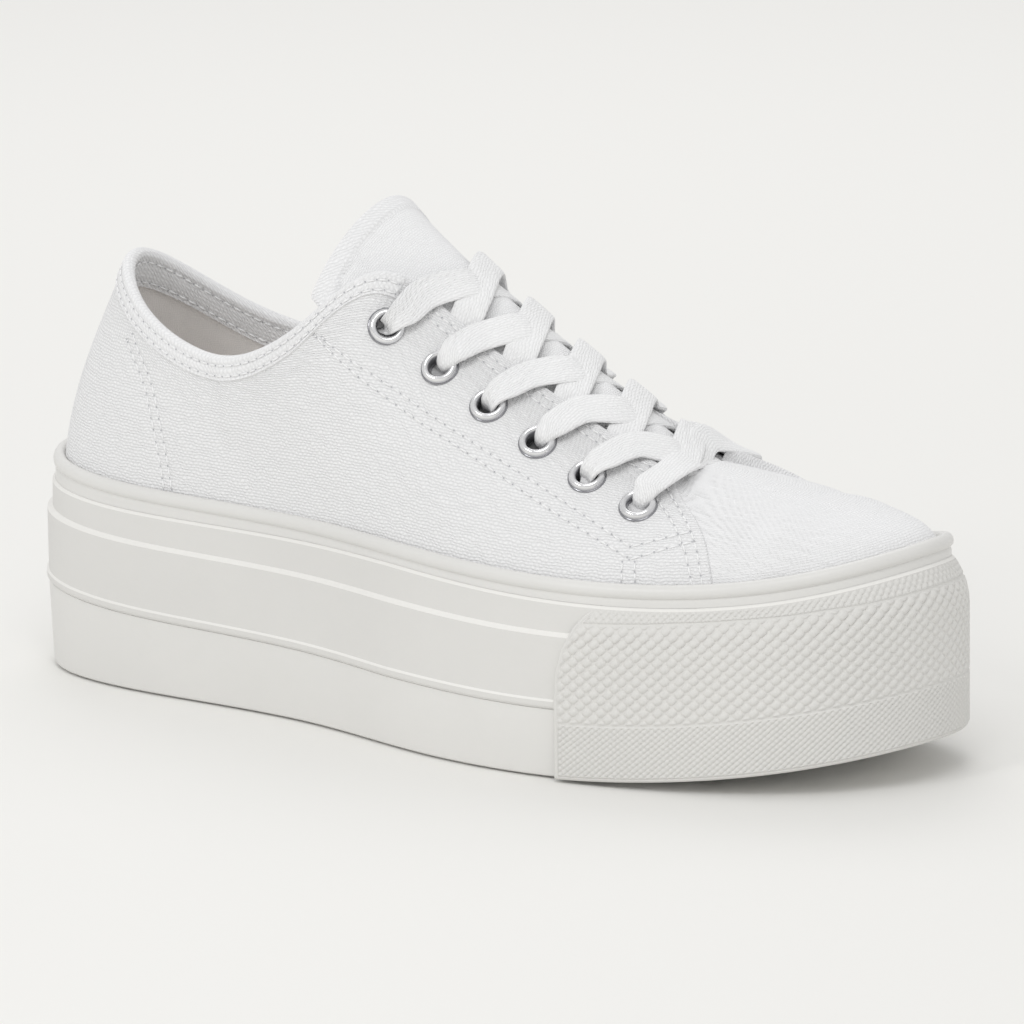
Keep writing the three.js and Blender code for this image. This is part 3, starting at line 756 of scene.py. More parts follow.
def face_ways(u, v):
    """Unit directions at a place: round the shoe, up the wall, and outwards."""
    step = 1e-3
    around = upper_face(u + step, v) - upper_face(u - step, v)
    rise = upper_face(u, np.minimum(1, v + step)) - upper_face(u, np.maximum(0, v - step))
    return unit(around), unit(rise), unit(np.cross(around, rise))


print("top edge over the heel:", np.round(upper_face(0.0, 1.0), 1).tolist())

# %% [markdown]
# Seams, tapes and hems are measured from an edge, "so many millimetres below the top". A table of path
# lengths, made once, turns such a distance back into v.

# %% Millimetres below the top edge
TABLE_U, TABLE_V, TABLE_MM = np.linspace(0, 1, 481), np.linspace(0, 1, 161), np.linspace(0, 90, 181)


def path_tables():
    net = upper_face(TABLE_U[:, None], TABLE_V[None])
    steps = np.linalg.norm(np.diff(net, axis=1), axis=2)
    from_top = np.concatenate([np.cumsum(steps[:, ::-1], axis=1)[:, ::-1], np.zeros((len(net), 1))], axis=1)
    back = np.array([np.interp(TABLE_MM, row[::-1], TABLE_V[::-1]) for row in from_top])
    return back, from_top[:, 0]


V_BELOW, HEIGHTS = path_tables()


def below_top(u, mm):
    """v at `mm` below the top edge, by linear reading of the table both ways."""
    u, mm = np.broadcast_arrays(np.mod(u, 1.0), np.asarray(mm, float))
    i = np.clip(u * (len(TABLE_U) - 1), 0, len(TABLE_U) - 1.001)
    j = np.clip(mm / TABLE_MM[1], 0, len(TABLE_MM) - 1.001)
    i0, j0 = i.astype(int), j.astype(int)
    fi, fj = i - i0, j - j0
    low = V_BELOW[i0, j0] * (1 - fj) + V_BELOW[i0, j0 + 1] * fj
    high = V_BELOW[i0 + 1, j0] * (1 - fj) + V_BELOW[i0 + 1, j0 + 1] * fj
    return low * (1 - fi) + high * fi


def wall_height(u):
    return np.interp(np.mod(u, 1.0), TABLE_U, HEIGHTS)


print("wall height in mm at heel, waist, throat:", np.round(wall_height(np.array([0, 0.15, 0.3])), 1).tolist())

# %% [markdown]
# ## Soft creases
# Cloth pulled over a last isn't a perfect skin. Each crease is listed one by one, as a line on one side of the
# shoe with a width and a depth: a trough, or a ridge where the depth is negative. A noise modifier would
# wrinkle it everywhere alike, and a new shoe isn't wrinkled.

# %% Creases, one by one
CREASES = columns(
    "side x0 z0 x1 z1 width depth",
    [
        (-1, -67.0, 90.0, -64.0, 72.0, 2.6, 0.35),
        (-1, -60.5, 90.0, -59.0, 76.0, 3.0, -0.25),
        (-1, -52.0, 92.0, -50.0, 80.0, 3.2, 0.22),
        (-1, -92.0, 84.0, -60.0, 70.0, 6.0, 0.35),
        (-1, -40.0, 98.0, -18.0, 74.0, 5.0, 0.3),
        (-1, -16.0, 96.0, 10.0, 66.0, 6.0, -0.3),
        (-1, 8.0, 84.0, 36.0, 62.0, 5.0, 0.28),
        (-1, 97.0, 66.0, 99.0, 57.0, 3.2, 0.5),
        (-1, 88.0, 72.0, 97.0, 66.5, 3.6, 0.45),
        (-1, 103.0, 68.0, 106.0, 58.0, 4.0, -0.3),
        (-1, 108.0, 68.0, 116.0, 60.0, 4.5, 0.25),
        (1, -66.0, 88.0, -62.0, 70.0, 2.8, 0.35),
        (1, -50.0, 90.0, -44.0, 76.0, 3.4, -0.3),
        (1, -38.0, 94.0, -14.0, 70.0, 5.0, 0.35),
        (1, -8.0, 92.0, 20.0, 64.0, 6.0, -0.3),
        (1, 14.0, 82.0, 40.0, 62.0, 5.0, 0.3),
        (1, 97.0, 66.0, 100.0, 58.0, 3.4, 0.5),
        (1, 104.0, 68.0, 108.0, 59.0, 4.0, -0.3),
    ],
)


def crease(place, u, v):
    """How far the creases press the face in, in mm, at each place."""
    side = np.where(np.mod(u, 1.0) < 0.5, -1, 1)
    x, z = place[..., 0], place[..., 2]
    pressed = np.zeros_like(x)
    for k in range(len(CREASES["side"])):
        x0, z0, x1, z1, width, depth = (CREASES[n][k] for n in "x0 z0 x1 z1 width depth".split())
        run, rise = x1 - x0, z1 - z0
        length = math.hypot(run, rise)
        along = ((x - x0) * run + (z - z0) * rise) / length
        off = ((x - x0) * rise - (z - z0) * run) / length
        past = np.maximum(0, np.maximum(-along, along - length)) / (0.35 * length)
        soft = np.exp(-((off / width) ** 2) - past**2)
        pressed += np.where(side == CREASES["side"][k], depth * soft, 0)
    return pressed * np.clip(v * 6, 0, 1) * np.clip((1 - v) * 10, 0, 1)


print("creases by hand:", len(CREASES["side"]))

# %% [markdown]
# ## Seams before cloth
# A seam shows in two ways: thread on the cloth, and a small dimple at each needle hole. So the seams come
# first, as rows of needle holes on the upper's face, and the sheets that follow dip where a needle went in.
# The rows are the pattern of this shoe: a double diagonal from the collar's corner down to the front, a small
# V back up, two short uprights, a double row along the front edge, and double rows at the heel and throat.

# %% The quarter's front edge
FRONT_EDGE = [(-0.02, 0.398), (0.153, 0.399), (0.32, 0.4015), (0.473, 0.406), (0.6, 0.4092), (0.69, 0.4097)]
FRONT_EDGE += [(0.78, 0.406), (0.86, 0.3975), (0.92, 0.3885), (0.97, 0.381), (1.0, 0.3765)]  # v, u


def through(points, count=200):
    """A smooth line through rows of numbers."""
    points = np.array(points, float)
    padded = np.vstack([2 * points[0] - points[1], points, 2 * points[-1] - points[-2]])
    spot = np.linspace(0, len(points) - 1.0001, count)
    k, t = spot.astype(int), (spot % 1)[:, None]
    p0, p1, p2, p3 = (padded[k + j] for j in range(4))
    return 0.5 * (
        2 * p1 + (p2 - p0) * t + (2 * p0 - 5 * p1 + 4 * p2 - p3) * t**2 + (3 * p1 - p0 - 3 * p2 + p3) * t**3
    )


def front_edge(v):
    fine = through(FRONT_EDGE, 300)
    return np.interp(v, fine[:, 0], fine[:, 1])


def beside_front(mm, low, high):
    """A line `mm` behind the front edge, from v low to v high."""
    v = np.linspace(low, high, 200)
    edge = np.stack([front_edge(v), v], -1)
    return parallel(edge, mm)


print("front edge runs from u", front_edge(0.0), "to", front_edge(1.0))

# %% Rows of needle holes
PITCH = 3.2  # from one needle hole to the next
ROW_GAP = 2.6  # between the two rows of a double seam
FROM_FRONT, FROM_THROAT = 2.3, 3.0  # from an edge to its first row


def spaced(line, pitch):
    """The (u, v) of places `pitch` apart along a line on the upper's face."""
    places = upper_face(line[:, 0], line[:, 1])
    run = run_along(places)
    count = max(2, int(round(run[-1] / pitch)) + 1)
    at = np.linspace(0, run[-1], count)
    return np.stack([np.interp(at, run, line[:, 0]), np.interp(at, run, line[:, 1])], -1)


def parallel(line, mm):
    """The same line, moved `mm` to its left on the face."""
    d = 1e-4
    ahead = np.gradient(line, axis=0)
    du = (upper_face(line[:, 0] + d, line[:, 1]) - upper_face(line[:, 0], line[:, 1])) / d
    dv = (upper_face(line[:, 0], line[:, 1]) - upper_face(line[:, 0], line[:, 1] - d)) / d
    along = unit(du * ahead[:, :1] + dv * ahead[:, 1:])
    left = np.cross(unit(np.cross(du, dv)), along)
    # solve left * mm = du * a + dv * b
    uu, uv, vv = (du * du).sum(1), (du * dv).sum(1), (dv * dv).sum(1)
    lu, lv = (left * du).sum(1), (left * dv).sum(1)
    det = uu * vv - uv**2
    return line + mm * np.stack([lu * vv - lv * uv, lv * uu - lu * uv], -1) / det[:, None]


SEAMS = {  # (x, z) on the side
    "diagonal_upper": [(-28.0, 102.2), (-27.0, 101.5), (-4.8, 89.8), (21.8, 79.2), (47.7, 68.8), (70.2, 59.7)],
    "diagonal_lower": [(-30.5, 102.4), (-29.5, 101.8), (-7.3, 88.0), (20.1, 77.2), (46.0, 66.5), (70.3, 57.4)],
    "back_up_upper": [(70.2, 59.7), (76.7, 61.8), (83.4, 63.8)],
    "back_up_lower": [(71.0, 56.9), (77.9, 59.4), (85.2, 61.8)],
    "upright_back": [(69.4, 56.3), (70.3, 51.6)],
    "upright_front": [(72.6, 56.5), (73.9, 51.9)],
    "heel_row": [(-97.0, 94.0), (-95.8, 92.6), (-88.1, 83.4), (-83.9, 73.5), (-81.0, 63.2), (-79.5, 55.5)],
}


def on_side(x, z):
    """(u, v) of the place on the outer side that shows at x, z: a coarse search, then Newton's steps."""
    walk, rise = np.linspace(0, 0.5, 161), np.linspace(0, 1, 61)
    net = upper_face(walk[:, None], rise[None])
    far = (net[..., 0] - x) ** 2 + (net[..., 2] - z) ** 2
    i, j = np.unravel_index(far.argmin(), far.shape)
    u, v, e = walk[i], rise[j], 1e-4
    for _ in range(8):
        here = upper_face(u, v)
        ways = np.stack([upper_face(u + e, v) - here, upper_face(u, v + e) - here], -1)[[0, 2]] / e
        step = np.linalg.solve(ways, np.array([x, z]) - here[[0, 2]])
        u, v = u + np.clip(step[0], -0.02, 0.02), np.clip(v + np.clip(step[1], -0.1, 0.1), 0, 1)
    return u, v


def side_line(points):
    fine = through(points, 24 if len(points) > 3 else 8)
    return through([on_side(x, z) for x, z in fine])


rows_outer = {name: side_line(points) for name, points in SEAMS.items()}
rows_outer["heel_row_back"] = parallel(rows_outer["heel_row"], -ROW_GAP)
rows_outer["front_row"] = beside_front(FROM_FRONT, 0.12, 0.955)
rows_outer["front_back_row"] = beside_front(FROM_FRONT + ROW_GAP, 0.12, 0.93)
for name, mm in (("throat_row", FROM_THROAT), ("throat_row_lower", FROM_THROAT + ROW_GAP)):
    walk = np.linspace(0.247, 0.362, 160)
    rows_outer[name] = np.stack([walk, below_top(walk, mm)], -1)
print("seam rows a side:", len(rows_outer))


# %% The same rows on the inner side
def other_side(line):
    return np.stack([1 - line[:, 0], line[:, 1]], -1)


seam_rows = {f"{name}_outer": line for name, line in rows_outer.items()}
seam_rows.update({f"{name}_inner": other_side(line) for name, line in rows_outer.items()})
needle_uv = {name: spaced(line, PITCH) for name, line in seam_rows.items()}
needle_places = np.vstack([upper_face(holes[:, 0], holes[:, 1]) for holes in needle_uv.values()])
seam_places = np.vstack([upper_face(*spaced(line, 1.0).T) for line in seam_rows.values()])
print("needle holes in the sides:", len(needle_places))


# %% The skin: face, creases and dimples
def nearest(places, points):
    """Distance from each place to the nearest of some points, in blocks to save memory."""
    best = np.empty(len(places))
    for start in range(0, len(places), 4000):
        block = places[start : start + 4000]
        gap = ((block**2).sum(1)[:, None] + (points**2).sum(1)[None]) - 2 * block @ points.T
        best[start : start + 4000] = np.sqrt(np.maximum(0, gap.min(1)))
    return best


def skin(u, v, depth=0.0, dimples=0.0):
    """A place on the cloth, `depth` mm under the upper's face."""
    place = upper_face(u, v)
    normal = face_ways(u, v)[2]
    pressed = depth + crease(place, u, v)
    if dimples:
        near_hole, near_row = nearest(place, needle_places), nearest(place, seam_places)
        pressed = pressed + dimples * (0.16 * np.exp(-((near_hole / 0.8) ** 2)))
        pressed = pressed + dimples * (0.20 * np.exp(-((near_row / 1.0) ** 2)))
    return place - normal * np.asarray(pressed)[..., None]


print("skin ready; deepest crease in mm:", CREASES["depth"].max())

# %% [markdown]
# ## Over the top edge
# Every edge at the opening is folded or taped: cloth comes up the outside, turns over, and goes down the
# inside. So each of these sheets is measured by one length w across it, negative on the outside, zero where
# the turn begins, and past the turn on the inside.


# %% The fold over the edge
def over_top(u, w, outer_depth, inner_depth, dimples=0.0):
    radius = (inner_depth - outer_depth) / 2
    turn = math.pi * radius
    below = radius + np.where(w < 0, -w, np.maximum(0, w - turn))
    v = below_top(u, below)
    depth = np.where(w < turn / 2, outer_depth, inner_depth)
    flat = skin(u, v, depth, dimples)
    _, rise, normal = face_ways(u, below_top(u, radius))
    middle = upper_face(u, below_top(u, radius)) - normal * (outer_depth + radius)
    angle = (np.clip(w, 0, turn) / radius)[..., None]
    rolled = middle + radius * (normal * np.cos(angle) + rise * np.sin(angle))
    return np.where(((w >= 0) & (w <= turn))[..., None], rolled, flat)


def steps(*stretches):
    """Row positions from stretches of (from, to, squares)."""
    rows = [np.linspace(start, stop, count + 1) for start, stop, count in stretches]
    return np.concatenate([rows[0]] + [row[1:] for row in rows[1:]])


def pick(rows, b):
    return rows[np.rint(b * (len(rows) - 1)).astype(int)]


print("fold helper ready")

# %% [markdown]
# ## The quarters
# A quarter is the side panel that runs from the heel to its curved front edge, which lies on the vamp. Its
# grid is laid so that the last column is exactly that curve, and the last few columns turn down, so the edge
# catches light and casts the thin shadow of a real layer of cloth.

# %% A quarter
QUARTER_DEPTH, VAMP_DEPTH, INSIDE = -0.35, 0.4, 1.8  # mm under the upper's face
LIP_MM = np.array([0.75, 0.5, 0.3, 0.14, 0.04, 0.0, 0.0])  # back from the edge
LIP_DROP = np.array([0.0, 0.02, 0.09, 0.24, 0.45, 0.7, 0.95])
fine_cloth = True
QUARTER_COLUMNS = 300 if fine_cloth else 160
quarter_rows = steps((-1.0, -0.06, 64 if fine_cloth else 34), (-0.06, 0.0, 5), (0.0, 1.0, 8), (1.0, 2.0, 3))
QUARTER_FOLD = 4.5  # mm of cloth turned down inside


def far_lift(u, v):
    """On the inner side the lowest strip of lace pulls the front corner up off the vamp."""
    along = np.clip((0.675 - u) / 0.05, 0, 1)
    up = np.clip((v - 0.45) / 0.5, 0, 1)
    ease = (along * along * (3 - 2 * along)) * (up * up * (3 - 2 * up))
    return np.where((u > 0.55) & (u < 0.7), 2.5 * ease, 0.0)


def quarter_place(side):
    turn = math.pi * (INSIDE - QUARTER_DEPTH) / 2
    columns_to_lip = QUARTER_COLUMNS - len(LIP_MM)

    def place(a, b):
        a = 1 - a if side > 0 else a
        k = np.rint(a * QUARTER_COLUMNS).astype(int)
        lip = np.clip(k - columns_to_lip - 1, -1, len(LIP_MM) - 1)
        back = np.where(lip < 0, LIP_MM[0], LIP_MM[np.maximum(lip, 0)])
        drop = np.where(lip < 0, 0.0, LIP_DROP[np.maximum(lip, 0)])
        share = np.where(lip < 0, k / (columns_to_lip + 1), 1.0)
        row = pick(quarter_rows, b)
        rough = front_edge(np.where(row < 0, 1 + row, 1.0))
        w = np.where(row < 0, row * wall_height(rough * share), np.where(row <= 1, row * turn, 0))
        w = np.where(row > 1, turn + (row - 1) * QUARTER_FOLD, w)
        v = below_top(rough * share, np.maximum(0, -w))
        edge = front_edge(v)
        speed = np.linalg.norm(upper_face(edge + 5e-4, v) - upper_face(edge - 5e-4, v), axis=-1) / 1e-3
        u = (edge - back / speed) * share
        u = 1 - u if side > 0 else u
        sheet = over_top(u, w, QUARTER_DEPTH, INSIDE + 0.1, 1.0)
        normal = face_ways(u, v)[2]
        lift = far_lift(u, v)
        return sheet - normal * (np.where(w < turn / 2, drop * (1 + lift / LIP_DROP[-1]), 0) - lift)[:, None]

    return place


quarter_outer, quarter_inner = (
    lay_grid(f"quarter_{name}", QUARTER_COLUMNS, len(quarter_rows) - 1, quarter_place(side))
    for name, side in (("outer", -1), ("inner", 1))
)
for quarter in (quarter_outer, quarter_inner):
    complete(quarter, 60, canvas)

# %% [markdown]
# ## The vamp and the lining
# The vamp covers the toe and goes in under both quarters. The lining is a plain loop just inside, and is
# what one sees in the opening. Both are the same wall laid again at another depth.

# %% The vamp
VAMP_FROM, VAMP_FOLD = 0.335, 4.0  # u under the quarters; mm turned down inside
vamp_rows = steps((-1.0, -0.06, 56 if fine_cloth else 28), (-0.06, 0.0, 4), (0.0, 1.0, 6), (1.0, 2.0, 3))
VAMP_COLUMNS = 200 if fine_cloth else 110


def vamp_place(a, b):
    turn = math.pi * (INSIDE - VAMP_DEPTH) / 2
    u = VAMP_FROM + (1 - 2 * VAMP_FROM) * a
    row = pick(vamp_rows, b)
    w = np.where(row < 0, row * wall_height(u), np.where(row <= 1, row * turn, turn + (row - 1) * VAMP_FOLD))
    return over_top(u, w, VAMP_DEPTH, INSIDE)


vamp = lay_grid("vamp", VAMP_COLUMNS, len(vamp_rows) - 1, vamp_place)
complete(vamp, 60, vamp_canvas)


# %% The lining
LINING_TOP = 1.6  # mm below the top edge


def lining_place(a, b):
    v = below_top(a, LINING_TOP + (wall_height(a) - LINING_TOP) * (1 - b))
    return skin(a, v, INSIDE - 0.05)


lining = lay_grid("lining", 260, 24, lining_place)
close_up(lining)
modify(lining, "SOLIDIFY", thickness=0.8 * MM, offset=1.0)
complete(lining, 60, lining_cloth)

# %% [markdown]
# ## The tongue
# The tongue is a stuffed flap with a hem, arched over the instep. Its section across is a rounded tent low
# down and a round arch at the top. One grid goes up the outside and back down the inside, so the flap is a
# closed body with a rounded rim, and a little step in its thickness makes the hem.

# %% The tongue's tables
TONGUE = columns(
    "s x z half fall inner back round",
    [
        (0.00, 80.0, 68.2, 13, 3.6, 3.8, 0.0, 0.00),
        (0.22, 54.0, 83.4, 19, 13.5, 16, 0.0, 0.00),
        (0.50, 21.0, 102.5, 23, 20, 28, 1.0, 0.00),
        (0.75, -6.5, 119.8, 26.5, 24, 31, 3.5, 0.04),
        (0.90, -21.0, 129.3, 28.2, 24.5, 29, 7.0, 0.45),
        (1.00, -28.4, 133.8, 26, 25, 28, 7.6, 0.90),
    ],
)
TONGUE_THICKNESS, HEM, HEM_RISE = 3.0, 5.2, 0.4
THROAT_MIDDLE, TENT_WIDTH, DOME_SHARE = -1.2, 0.36, 0.97


def there_and_back(name):
    at = np.append(TONGUE["s"] / 2, 1 - TONGUE["s"][-2:0:-1] / 2)
    return closed_curve(at, np.append(TONGUE[name], TONGUE[name][-2:0:-1]))


tongue_line = {name: there_and_back(name) for name in "x z half fall inner back round".split()}


def tongue_face(s, t):
    at = np.asarray(s, float) / 2
    tent = (np.sqrt(1 + (t / TENT_WIDTH) ** 2) - 1) / (math.sqrt(1 + TENT_WIDTH**-2) - 1)
    dome = (1 - np.sqrt(1 - np.minimum(1, t * t) * DOME_SHARE)) / (1 - math.sqrt(1 - DOME_SHARE))
    arch = tongue_line["round"](at)
    down = (1 - arch) * tent + arch * dome
    fall = np.where(t < 0, tongue_line["fall"](at), tongue_line["inner"](at))
    x = tongue_line["x"](at) - tongue_line["back"](at) * down
    y = THROAT_MIDDLE + tongue_line["half"](at) * t
    return np.stack([x, y, tongue_line["z"](at) - fall * down], -1)


def tongue_ways(s, t):
    d = 1e-3
    rise = tongue_face(np.minimum(1, s + d), t) - tongue_face(np.maximum(0, s - d), t)
    across = tongue_face(s, np.minimum(1, t + d)) - tongue_face(s, np.maximum(-1, t - d))
    normal = unit(np.cross(across, rise))
    normal = np.where(normal[..., 2:] < 0, -normal, normal)
    return unit(rise), unit(across), normal


TONGUE_LENGTH = float(np.linalg.norm(tongue_face(1.0, 0.0) - tongue_face(0.0, 0.0)))
print("tongue length in mm:", round(TONGUE_LENGTH, 1))

# %% The tongue's body
TONGUE_AROUND, TONGUE_UP = (176, 150) if fine_cloth else (100, 80)
TONGUE_SIDE = 0.985  # t at the flap's sides
DITCH, DITCH_WIDTH, HEM_STEP = 0.45, 0.4, 0.45  # the sewn line along the hem


def rim_distance(places):
    """How far places are from the flap's rim; `soft` rounds the corner between side and top."""
    soft = 2.5
    up, over = np.linspace(0.0, 1.0, 240), np.linspace(-TONGUE_SIDE, TONGUE_SIDE, 160)
    sides = np.vstack([tongue_face(up, np.full(240, t)) for t in (-TONGUE_SIDE, TONGUE_SIDE)])
    to_side, to_top = nearest(places, sides), nearest(places, tongue_face(np.ones(160), over))
    return -soft * np.log(np.exp(-to_side / soft) + np.exp(-to_top / soft))


def tongue_place(a, b):
    loop = np.mod(a * 2, 2)  # 0..1 outer face from the outer side over, 1..2 back inside
    outer = loop <= 1
    t = np.where(outer, 2 * loop - 1, 3 - 2 * loop)
    t = np.sin(t * math.pi / 2) * TONGUE_SIDE
    s = np.minimum(1.0, b * 1.012)
    normal = tongue_ways(s, t)[2]
    half = TONGUE_THICKNESS / 2
    rim = np.clip((1 - np.abs(t)) / 0.03, 0, 1) * np.clip((1.012 - b * 1.012) / 0.012, 0, 1) * np.clip(b / 0.015, 0, 1)
    body = half * np.sqrt(1 - (1 - rim) ** 2)
    face = tongue_face(s, t)
    inward = rim_distance(face)
    hem = HEM_RISE * np.clip((HEM - inward) / HEM_STEP, 0, 1)
    ditch = DITCH * np.exp(-(((inward - HEM) / DITCH_WIDTH) ** 2))
    lift = np.where(outer, body + (hem - ditch) * rim, -body)
    return face + normal * (lift - half)[:, None]


tongue = lay_grid("tongue_flap", TONGUE_AROUND, TONGUE_UP, tongue_place)
close_up(tongue, 0.02)
smooth(tongue, 60)
dress(tongue, tongue_canvas, tape_cloth)
middles = np.array([face.center[:] for face in tongue.data.polygons]) / MM
on_hem = rim_distance(middles) < HEM
tongue.data.polygons.foreach_set("material_index", on_hem.astype(np.int32))
say(tongue)
print("faces in the hem:", int(on_hem.sum()))

# %% [markdown]
# ## Eyelets
# An eyelet is a short tube with a rolled collar. Its section is drawn once and turned about its axis, which
# the spin tool does from a few vertices, and then it is copied to the twelve places, each copy with a mesh of its
# own. The holes in the cloth are cut with cylinders a little wider than the barrel.

# %% Places of the eyelets
EYELET_ROWS, EYELET_FIRST, EYELET_PITCH = 6, -12.1, 15.84
FROM_EDGE, SPREAD = 14.2, 0.62
BARREL, BARREL_ROOM, RING_SEAT = 3.2, 0.12, 0.35


def station_for(side, x, place_x):
    """The u on one side of the throat at which place_x(u) is x."""
    u = halve(0.2, 0.42, lambda half: place_x(1 - half if side > 0 else half) < x)
    return 1 - u if side > 0 else u


def eyelet_spot(side, row):
    mm = FROM_EDGE + row * SPREAD
    u = station_for(side, EYELET_FIRST + row * EYELET_PITCH, lambda at: upper_face(at, below_top(at, mm))[0])
    v = below_top(u, mm)
    _, rise, normal = face_ways(u, v)
    return {"place": upper_face(u, v), "rise": rise, "normal": normal}


spots = {(side, row): eyelet_spot(side, row) for side in (-1, 1) for row in range(EYELET_ROWS)}
print("first eyelet, outer side:", np.round(spots[-1, 0]["place"], 1).tolist())

# %% One rolled ring, spun
RING = [(2.75, -2.5), (2.7, 0.0), (2.78, 0.8), (3.08, 1.4), (3.6, 1.75), (4.1, 1.6), (4.48, 1.15), (4.66, 0.6)]
RING += [(4.7, 0.25), (4.95, 0.16), (5.02, -0.05), (4.85, -0.3), (3.3, -0.3), (3.2, -2.3), (2.95, -2.6)]
# each row above is a radius, and a height over the cloth


def spun_ring(name, profile, turns):
    ring = fresh(bpy.ops.mesh.primitive_circle_add, name, vertices=len(profile), radius=0.003)
    move_corners(ring, np.array([(r, 0, z) for r, z in profile]) * MM)
    with editing(ring):
        bpy.ops.mesh.spin(steps=turns, angle=2 * math.pi, center=(0, 0, 0), axis=(0, 0, 1))
        bpy.ops.mesh.select_all(action="SELECT")
        bpy.ops.mesh.remove_doubles(threshold=0.01 * MM)
        bpy.ops.mesh.normals_make_consistent(inside=False)
    smooth(ring, 60)
    radius, height = np.hypot(*corners(ring).T[:2]) / MM, corners(ring)[:, 2] / MM
    # painted highlight on the crest, painted shade and dark reflection in the bore and at the foot
    crest = np.clip((height - 0.1) / 1.3, 0, 1) * np.clip((radius - 2.75) / 0.5, 0, 1)
    ring.data.attributes.new("painted_reflection", "FLOAT", "POINT").data.foreach_set("value", crest.astype(np.float32))
    return ring


ring_master = spun_ring("eyelet_ring", RING, 40)
say(ring_master)


# %% Twelve rings, and the holes under them
def stand(piece, spot, height=0.0):
    """Turns a piece made about +Z to stand on the cloth at an eyelet, with its place in its mesh."""
    z, y = Vector(spot["normal"]), Vector(spot["rise"])
    x = y.cross(z).normalized()
    turn = Matrix((x, y, z)).transposed().to_4x4()
    place = Vector(spot["place"] + spot["normal"] * height) * MM
    piece.matrix_world = Matrix.Translation(place) @ turn
    only(piece)
    bpy.ops.object.transform_apply(location=True, rotation=True, scale=True)


rings = {}
for (side, row), spot in spots.items():
    only(ring_master)
    bpy.ops.object.duplicate()
    ring = bpy.context.object
    ring.name = ring.data.name = f"eyelet_{'inner' if side > 0 else 'outer'}_ring_{row + 1}"
    stand(ring, spot, RING_SEAT)
    dress(ring, nickel)
    rings[side, row] = ring
bpy.data.objects.remove(ring_master)


def hole_cutter(side):
    size = {"vertices": 40, "radius": (BARREL + BARREL_ROOM) * MM, "depth": 7 * MM}
    cutters = [fresh(bpy.ops.mesh.primitive_cylinder_add, "hole", **size) for _ in range(EYELET_ROWS)]
    for row, cutter in enumerate(cutters):
        stand(cutter, spots[side, row])
    return join("hole_cutter", cutters)


for side, sheet in ((-1, quarter_outer), (1, quarter_inner)):
    cutter = hole_cutter(side)
    for piece in (sheet, lining):
        cut_away(piece, cutter)
    bpy.data.objects.remove(cutter)
print("rings:", len(rings))

# %% [markdown]
# ## The lace
# One flat lace runs through all twelve eyelets. It comes out of each eyelet, goes over the throat edge,
# crosses the tongue, slips under the far edge and comes up through the next eyelet. The strips from the
# inner side lie on top. Each place it passes is a stop: a point, the way its face looks, its width and its
# thickness. At an eyelet the lace turns back on itself, so its other face looks outwards from there on.


# %% Stops over the tongue, the edges and the eyelets
def tongue_under(x, y):
    """The place on the tongue's face at x and y, and the way it looks."""

    def across(s):
        return np.clip((y - THROAT_MIDDLE) / tongue_line["half"](s / 2), -1, 1)

    s = halve(0.0, 1.0, lambda half: tongue_face(half, across(half))[0] > x)
    return tongue_face(s, across(s)), tongue_ways(np.array(s), np.array(across(s)))[2]


def edge_at(side, x, mm=0.0):
    u = station_for(side, x, top_x)
    v = below_top(u, mm)
    return upper_face(u, v), face_ways(u, v)[2]


LACE_WIDTH, LACE_THICK = 9.0, 1.35
print("tongue height at the middle:", np.round(tongue_under(20, 0)[0], 1).tolist())

# %% One strip from eyelet to eyelet
LEAVE_AT, SLIP_AT = 0.38, 1.0  # of a pitch along from the eyelet that the strip leaves


def out_of_eyelet(spot, toward, face):
    """Stops from the bore up over the ring."""
    place, normal = spot["place"], spot["normal"]
    away = unit(toward - place - normal * np.dot(toward - place, normal))
    return [
        (place - normal * 0.6 + away * 0.7, -face * away, 4.7, 2.0),
        (place + normal * 1.7 + away * 1.3, face * unit(normal - away), 5.2, 2.0),
        (place + normal * 2.9 + away * 3.6, face * unit(normal - 0.2 * away), 6.6, 1.8),
        (place + normal * 2.8 + away * 6.4, face * normal, 8.2, 1.5),
    ], away


def strip_stops(side, row, face):
    """From eyelet (side, row) over to just inside eyelet (-side, row + 1)."""
    start, end = spots[side, row], spots[-side, row + 1]
    x_leave, x_slip = (EYELET_FIRST + (row + k) * EYELET_PITCH for k in (LEAVE_AT, SLIP_AT))
    leave, leave_normal = edge_at(side, x_leave)
    stops, _ = out_of_eyelet(start, leave, face)
    over = leave + leave_normal * 1.7
    slip_y = edge_at(-side, x_slip)[0][1]
    crown_rise, crown_at = (3.4, 0.6) if side > 0 else (1.9, 0.83)
    crown, crown_normal = tongue_under(EYELET_FIRST + (row + crown_at) * EYELET_PITCH, THROAT_MIDDLE + side * 4.0)
    before, before_normal = tongue_under(x_slip - 0.6, slip_y + side * 5.0)
    stops.append((over, face * unit(leave_normal + 0.3 * crown_normal), LACE_WIDTH, LACE_THICK))
    stops.append((crown + crown_normal * crown_rise, face * crown_normal, LACE_WIDTH, LACE_THICK))
    rise_before = 2.4 if side > 0 else 1.2
    stops.append((before + before_normal * rise_before, face * before_normal, LACE_WIDTH, LACE_THICK))
    for mm, depth, width in ((2.5, 2.85, 8.6), (7.0, 3.0, 7.6)):
        place, normal = edge_at(-side, x_slip + 0.02 * EYELET_PITCH, mm)
        stops.append((place - normal * depth, face * normal, width, LACE_THICK))
    back = unit(edge_at(-side, x_slip)[0] - end["place"])
    stops.append((end["place"] - end["normal"] * 3.6 + back * 2.2, face * unit(end["normal"] + back), 5.4, 2.0))
    return stops


print("stops in a strip:", len(strip_stops(1, 0, 1)))


